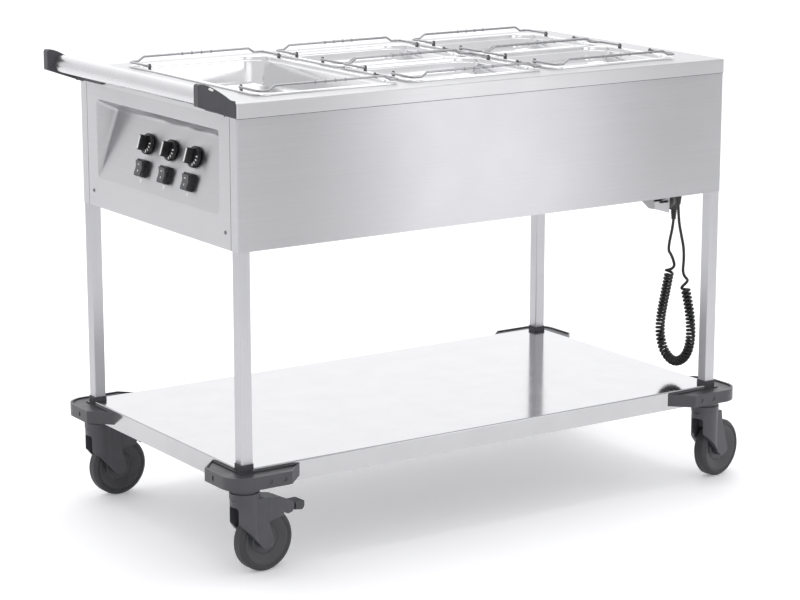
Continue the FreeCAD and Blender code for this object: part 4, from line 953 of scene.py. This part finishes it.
def walk(line):
    """A function from a share of the line's length to the place and direction there."""
    lengths = [0.0]
    for a, b in zip(line, line[1:]):
        lengths.append(lengths[-1] + (b - a).length)

    def at(share):
        goal = min(max(share, 0.0), 1.0) * lengths[-1]
        i = 0
        while i < len(line) - 2 and lengths[i + 1] < goal:
            i += 1
        part = (goal - lengths[i]) / max(lengths[i + 1] - lengths[i], 1e-9)
        ahead = line[min(i + 2, len(line) - 1)] - line[max(i - 1, 0)]
        return line[i].lerp(line[i + 1], part), ahead.normalized()

    return at


def curl_points():
    """The curls wind round the hanging axis and climb faster in their first and last turn."""
    at = walk(read_line(metres(COIL_AXIS)))
    steps = CURL_TURNS * CURL_POINTS
    weights = []
    for i in range(steps):
        edge = min(i + 0.5, steps - i - 0.5) / CURL_POINTS
        weights.append(1.0 + (CURL_END_RATE - 1.0) * max(0.0, 1.0 - edge))
    total = sum(weights)
    radius = CURL_RADIUS / math.cos(math.pi / CURL_POINTS)
    points, passed = [], 0.0
    for i in range(steps + 1):
        place, forward = at(passed / total)
        side = X_AXIS
        up = forward.cross(side)
        angle = 2 * math.pi * i / CURL_POINTS
        points.append(place + side * (radius * math.cos(angle)) + up * (radius * math.sin(angle)))
        if i < steps:
            passed += weights[i]
    return points


def eased_exit(tip, before, target):
    """Two points that turn the cord gently out of its last curl towards the next point of its route."""
    along = (tip - before).normalized()
    first = tip + along * EXIT_STEP
    onward = (along + (target - first).normalized()).normalized()
    return [first, first + onward * EXIT_STEP * EXIT_GROWTH]


def make_cord(materials):
    curls = curl_points()
    plug_lead, gland_lead = metres(PLUG_LEAD), metres(GLAND_LEAD)
    plug_exit = eased_exit(curls[0], curls[1], plug_lead[-1])
    gland_exit = eased_exit(curls[-1], curls[-2], gland_lead[0])
    points = plug_lead + plug_exit[::-1] + curls + gland_exit + gland_lead
    points.reverse()
    curve = bpy.data.curves.new("mains_cord", "CURVE")
    curve.dimensions = "3D"
    curve.bevel_depth = CORD_DIAMETER / 2
    curve.bevel_resolution = 3
    curve.resolution_u = 3
    curve.use_fill_caps = True
    smooth_spline(curve, points)
    cord = new_piece("mains_cord", curve, "frame", materials["cord_sheath"])
    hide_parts("cord_coil", "cord_plug_lead", "cord_gland_lead")


# ---- studio ------------------------------------------------------------------------------------

# Level of the mirrored backdrop in front of the long side, along X at CARD_Y.
CARD_Y = -2.0
CARD_LOW = -1.0
CARD_HIGH = 3.4
CARD_TOP = 1.9
CARD_BOTTOM = 0.02
# The curve node holds values up to 1, so levels are divided by this in it and multiplied after it.
CURVE_SCALE = 2.0
CARD_TINT = (0.98, 0.98, 1.0, 1.0)
ROOM_TINT = (0.985, 0.985, 1.0, 1.0)
CARD_LEVELS = (
    (-1.0, 1.2),
    (0.2, 1.2),
    (0.53, 0.57),
    (0.72, 0.83),
    (1.12, 1.94),
    (1.32, 1.88),
    (1.62, 1.12),
    (1.88, 0.52),
    (2.12, 0.94),
    (3.4, 1.2),
)


def emission(name):
    """A material that only shines: its strength and tint are set where it is used."""
    material = bpy.data.materials.new(name)
    material.use_nodes = True
    tree = material.node_tree
    tree.nodes.clear()
    output = tree.nodes.new("ShaderNodeOutputMaterial")
    shine = tree.nodes.new("ShaderNodeEmission")
    tree.links.new(shine.outputs[0], output.inputs["Surface"])
    return material, tree, shine


def make_mirror_card():
    """Panel of light that only shows in reflections: it shades the long side's steel along its length."""
    material, tree, shine = emission("mirror_card")
    place = tree.nodes.new("ShaderNodeTexCoord")
    split = tree.nodes.new("ShaderNodeSeparateXYZ")
    curve = tree.nodes.new("ShaderNodeFloatCurve")
    share = tree.nodes.new("ShaderNodeMapRange")
    share.inputs["From Min"].default_value = CARD_LOW
    share.inputs["From Max"].default_value = CARD_HIGH
    tree.links.new(place.outputs["Object"], split.inputs[0])
    tree.links.new(split.outputs["X"], share.inputs["Value"])
    tree.links.new(share.outputs["Result"], curve.inputs["Value"])
    line = curve.mapping.curves[0]
    while len(line.points) < len(CARD_LEVELS):
        line.points.new(0.5, 0.5)
    for point, (x, level) in zip(line.points, CARD_LEVELS):
        point.location = ((x - CARD_LOW) / (CARD_HIGH - CARD_LOW), level / CURVE_SCALE)
    curve.mapping.update()
    scale = tree.nodes.new("ShaderNodeMath")
    scale.operation = "MULTIPLY"
    scale.inputs[1].default_value = CURVE_SCALE
    tree.links.new(curve.outputs[0], scale.inputs[0])
    tree.links.new(scale.outputs[0], shine.inputs["Strength"])
    shine.inputs["Color"].default_value = CARD_TINT
    mesh = bmesh.new()
    corners = (
        (CARD_LOW, CARD_BOTTOM),
        (CARD_HIGH, CARD_BOTTOM),
        (CARD_HIGH, CARD_TOP),
        (CARD_LOW, CARD_TOP),
    )
    mesh.faces.new([mesh.verts.new((x, CARD_Y, z)) for x, z in corners])
    data = finish_mesh("mirror_card", mesh)
    data.materials.append(material)
    card = bpy.data.objects.new("mirror_card", data)
    bpy.context.scene.collection.objects.link(card)
    card.visible_camera = False
    card.visible_diffuse = False
    card.visible_shadow = False
    card.visible_transmission = False


FLOOR_RADIUS = 12.0
FLOOR_STEPS = 72
FLOOR_COLOUR = (0.96, 0.96, 0.962)
FLOOR_GLOW = 0.19


def make_floor():
    """Pale table lit from within, so that the shadow on it stays light."""
    finish = Finish("studio_floor", FLOOR_COLOUR, 0.7)
    finish.set("Emission Color", ROOM_TINT)
    finish.set("Emission Strength", FLOOR_GLOW)
    place = finish.place()
    finish.tinted(finish.ranged(finish.noise(place, 0.6, 3.0), 0.0, 1.0), 0.012)
    finish.set("Specular IOR Level", 0.2)
    mesh = bmesh.new()
    edge = []
    for i in range(FLOOR_STEPS):
        angle = 2 * math.pi * i / FLOOR_STEPS
        edge.append(mesh.verts.new((FLOOR_RADIUS * math.cos(angle), FLOOR_RADIUS * math.sin(angle), 0)))
    mesh.faces.new(edge)
    data = finish_mesh("studio_floor", mesh)
    data.materials.append(finish.material)
    floor = bpy.data.objects.new("studio_floor", data)
    bpy.context.scene.collection.objects.link(floor)


def area_light(name, place, target, size, power):
    data = bpy.data.lights.new(name, "AREA")
    data.shape = "RECTANGLE"
    data.size, data.size_y = size
    data.energy = power
    light = bpy.data.objects.new(name, data)
    light.location = place
    aim = Vector(target) - Vector(place)
    light.rotation_euler = aim.to_track_quat("-Z", "Y").to_euler()
    bpy.context.scene.collection.objects.link(light)
    return light


BACKDROP = (0.54, 0.84)
ROOM_LEVEL = 1.0
BACKDROP_LEVEL = 1.55
DARK_LEVEL = 0.80
# How squarely a direction faces the backdrop, where each change of level starts and ends.
BACKDROP_EDGE = (0.35, 0.98)
DARK_EDGE = (-0.15, 0.15)


def eased_level(tree, facing, edge, levels):
    """A level that eases from the first to the second of its values between the two edges."""
    node = tree.nodes.new("ShaderNodeMapRange")
    node.interpolation_type = "SMOOTHSTEP"
    for socket, value in zip(("From Min", "From Max", "To Min", "To Max"), (*edge, *levels)):
        node.inputs[socket].default_value = value
    tree.links.new(facing, node.inputs["Value"])
    return node.outputs["Result"]


def make_world():
    """White room, brighter towards the lit backdrop behind the trolley."""
    world = bpy.data.worlds.new("studio")
    world.use_nodes = True
    bpy.context.scene.world = world
    tree = world.node_tree
    back = tree.nodes["Background"]
    place = tree.nodes.new("ShaderNodeTexCoord")
    facing = tree.nodes.new("ShaderNodeVectorMath")
    facing.operation = "DOT_PRODUCT"
    facing.inputs[1].default_value = (*BACKDROP, 0.0)
    tree.links.new(place.outputs["Generated"], facing.inputs[0])
    level = eased_level(tree, facing.outputs["Value"], BACKDROP_EDGE, (ROOM_LEVEL, BACKDROP_LEVEL))
    dim = eased_level(tree, facing.outputs["Value"], DARK_EDGE, (DARK_LEVEL, 1.0))
    both = tree.nodes.new("ShaderNodeMath")
    both.operation = "MULTIPLY"
    tree.links.new(level, both.inputs[0])
    tree.links.new(dim, both.inputs[1])
    tree.links.new(both.outputs[0], back.inputs["Strength"])
    back.inputs["Color"].default_value = ROOM_TINT


# Washes that light the floor and the plastics and that the steel doesn't mirror:
# name, place, target, size in metres, power in watts.
WASHES = (
    ("top", (0.1, 0.1, 2.6), (0.1, 0.1, 0.0), (1.6, 1.0), 14.0),
    ("front", (0.6, -3.2, 0.9), (0.3, 0.0, 0.1), (5.0, 1.6), 6.0),
    ("left", (-3.2, 0.3, 0.9), (0.0, 0.0, 0.1), (4.0, 1.6), 6.0),
    ("right", (3.4, 0.0, 0.9), (0.0, 0.0, 0.1), (4.0, 1.6), 6.0),
    ("rear", (0.0, 3.4, 0.9), (0.0, 0.0, 0.1), (5.0, 1.6), 6.0),
)


def make_studio():
    make_floor()
    make_world()
    make_mirror_card()
    area_light("overhead", (0.1, 0.1, 3.0), (0.1, 0.1, 0.0), (2.4, 1.6), 14.0)
    for name, place, target, size, power in WASHES:
        wash = area_light("wash_" + name, place, target, size, power)
        wash.visible_glossy = False
    bpy.context.scene.view_settings.view_transform = "Standard"


# ---- the whole scene ---------------------------------------------------------------------------


def build():
    make_camera()
    materials = make_materials()
    make_cord(materials)
    dress_frame(materials)
    for pan in PANS:
        make_pan(pan, materials)
        for side in SIDES:
            make_bail(pan, side, materials)
    for place in CONTROLS:
        make_knob(place, materials)
        make_switch(place, materials)
    for side in SIDES:
        make_bracket(side, materials)
    make_band_shadow_line(materials)
    make_studio()


build()
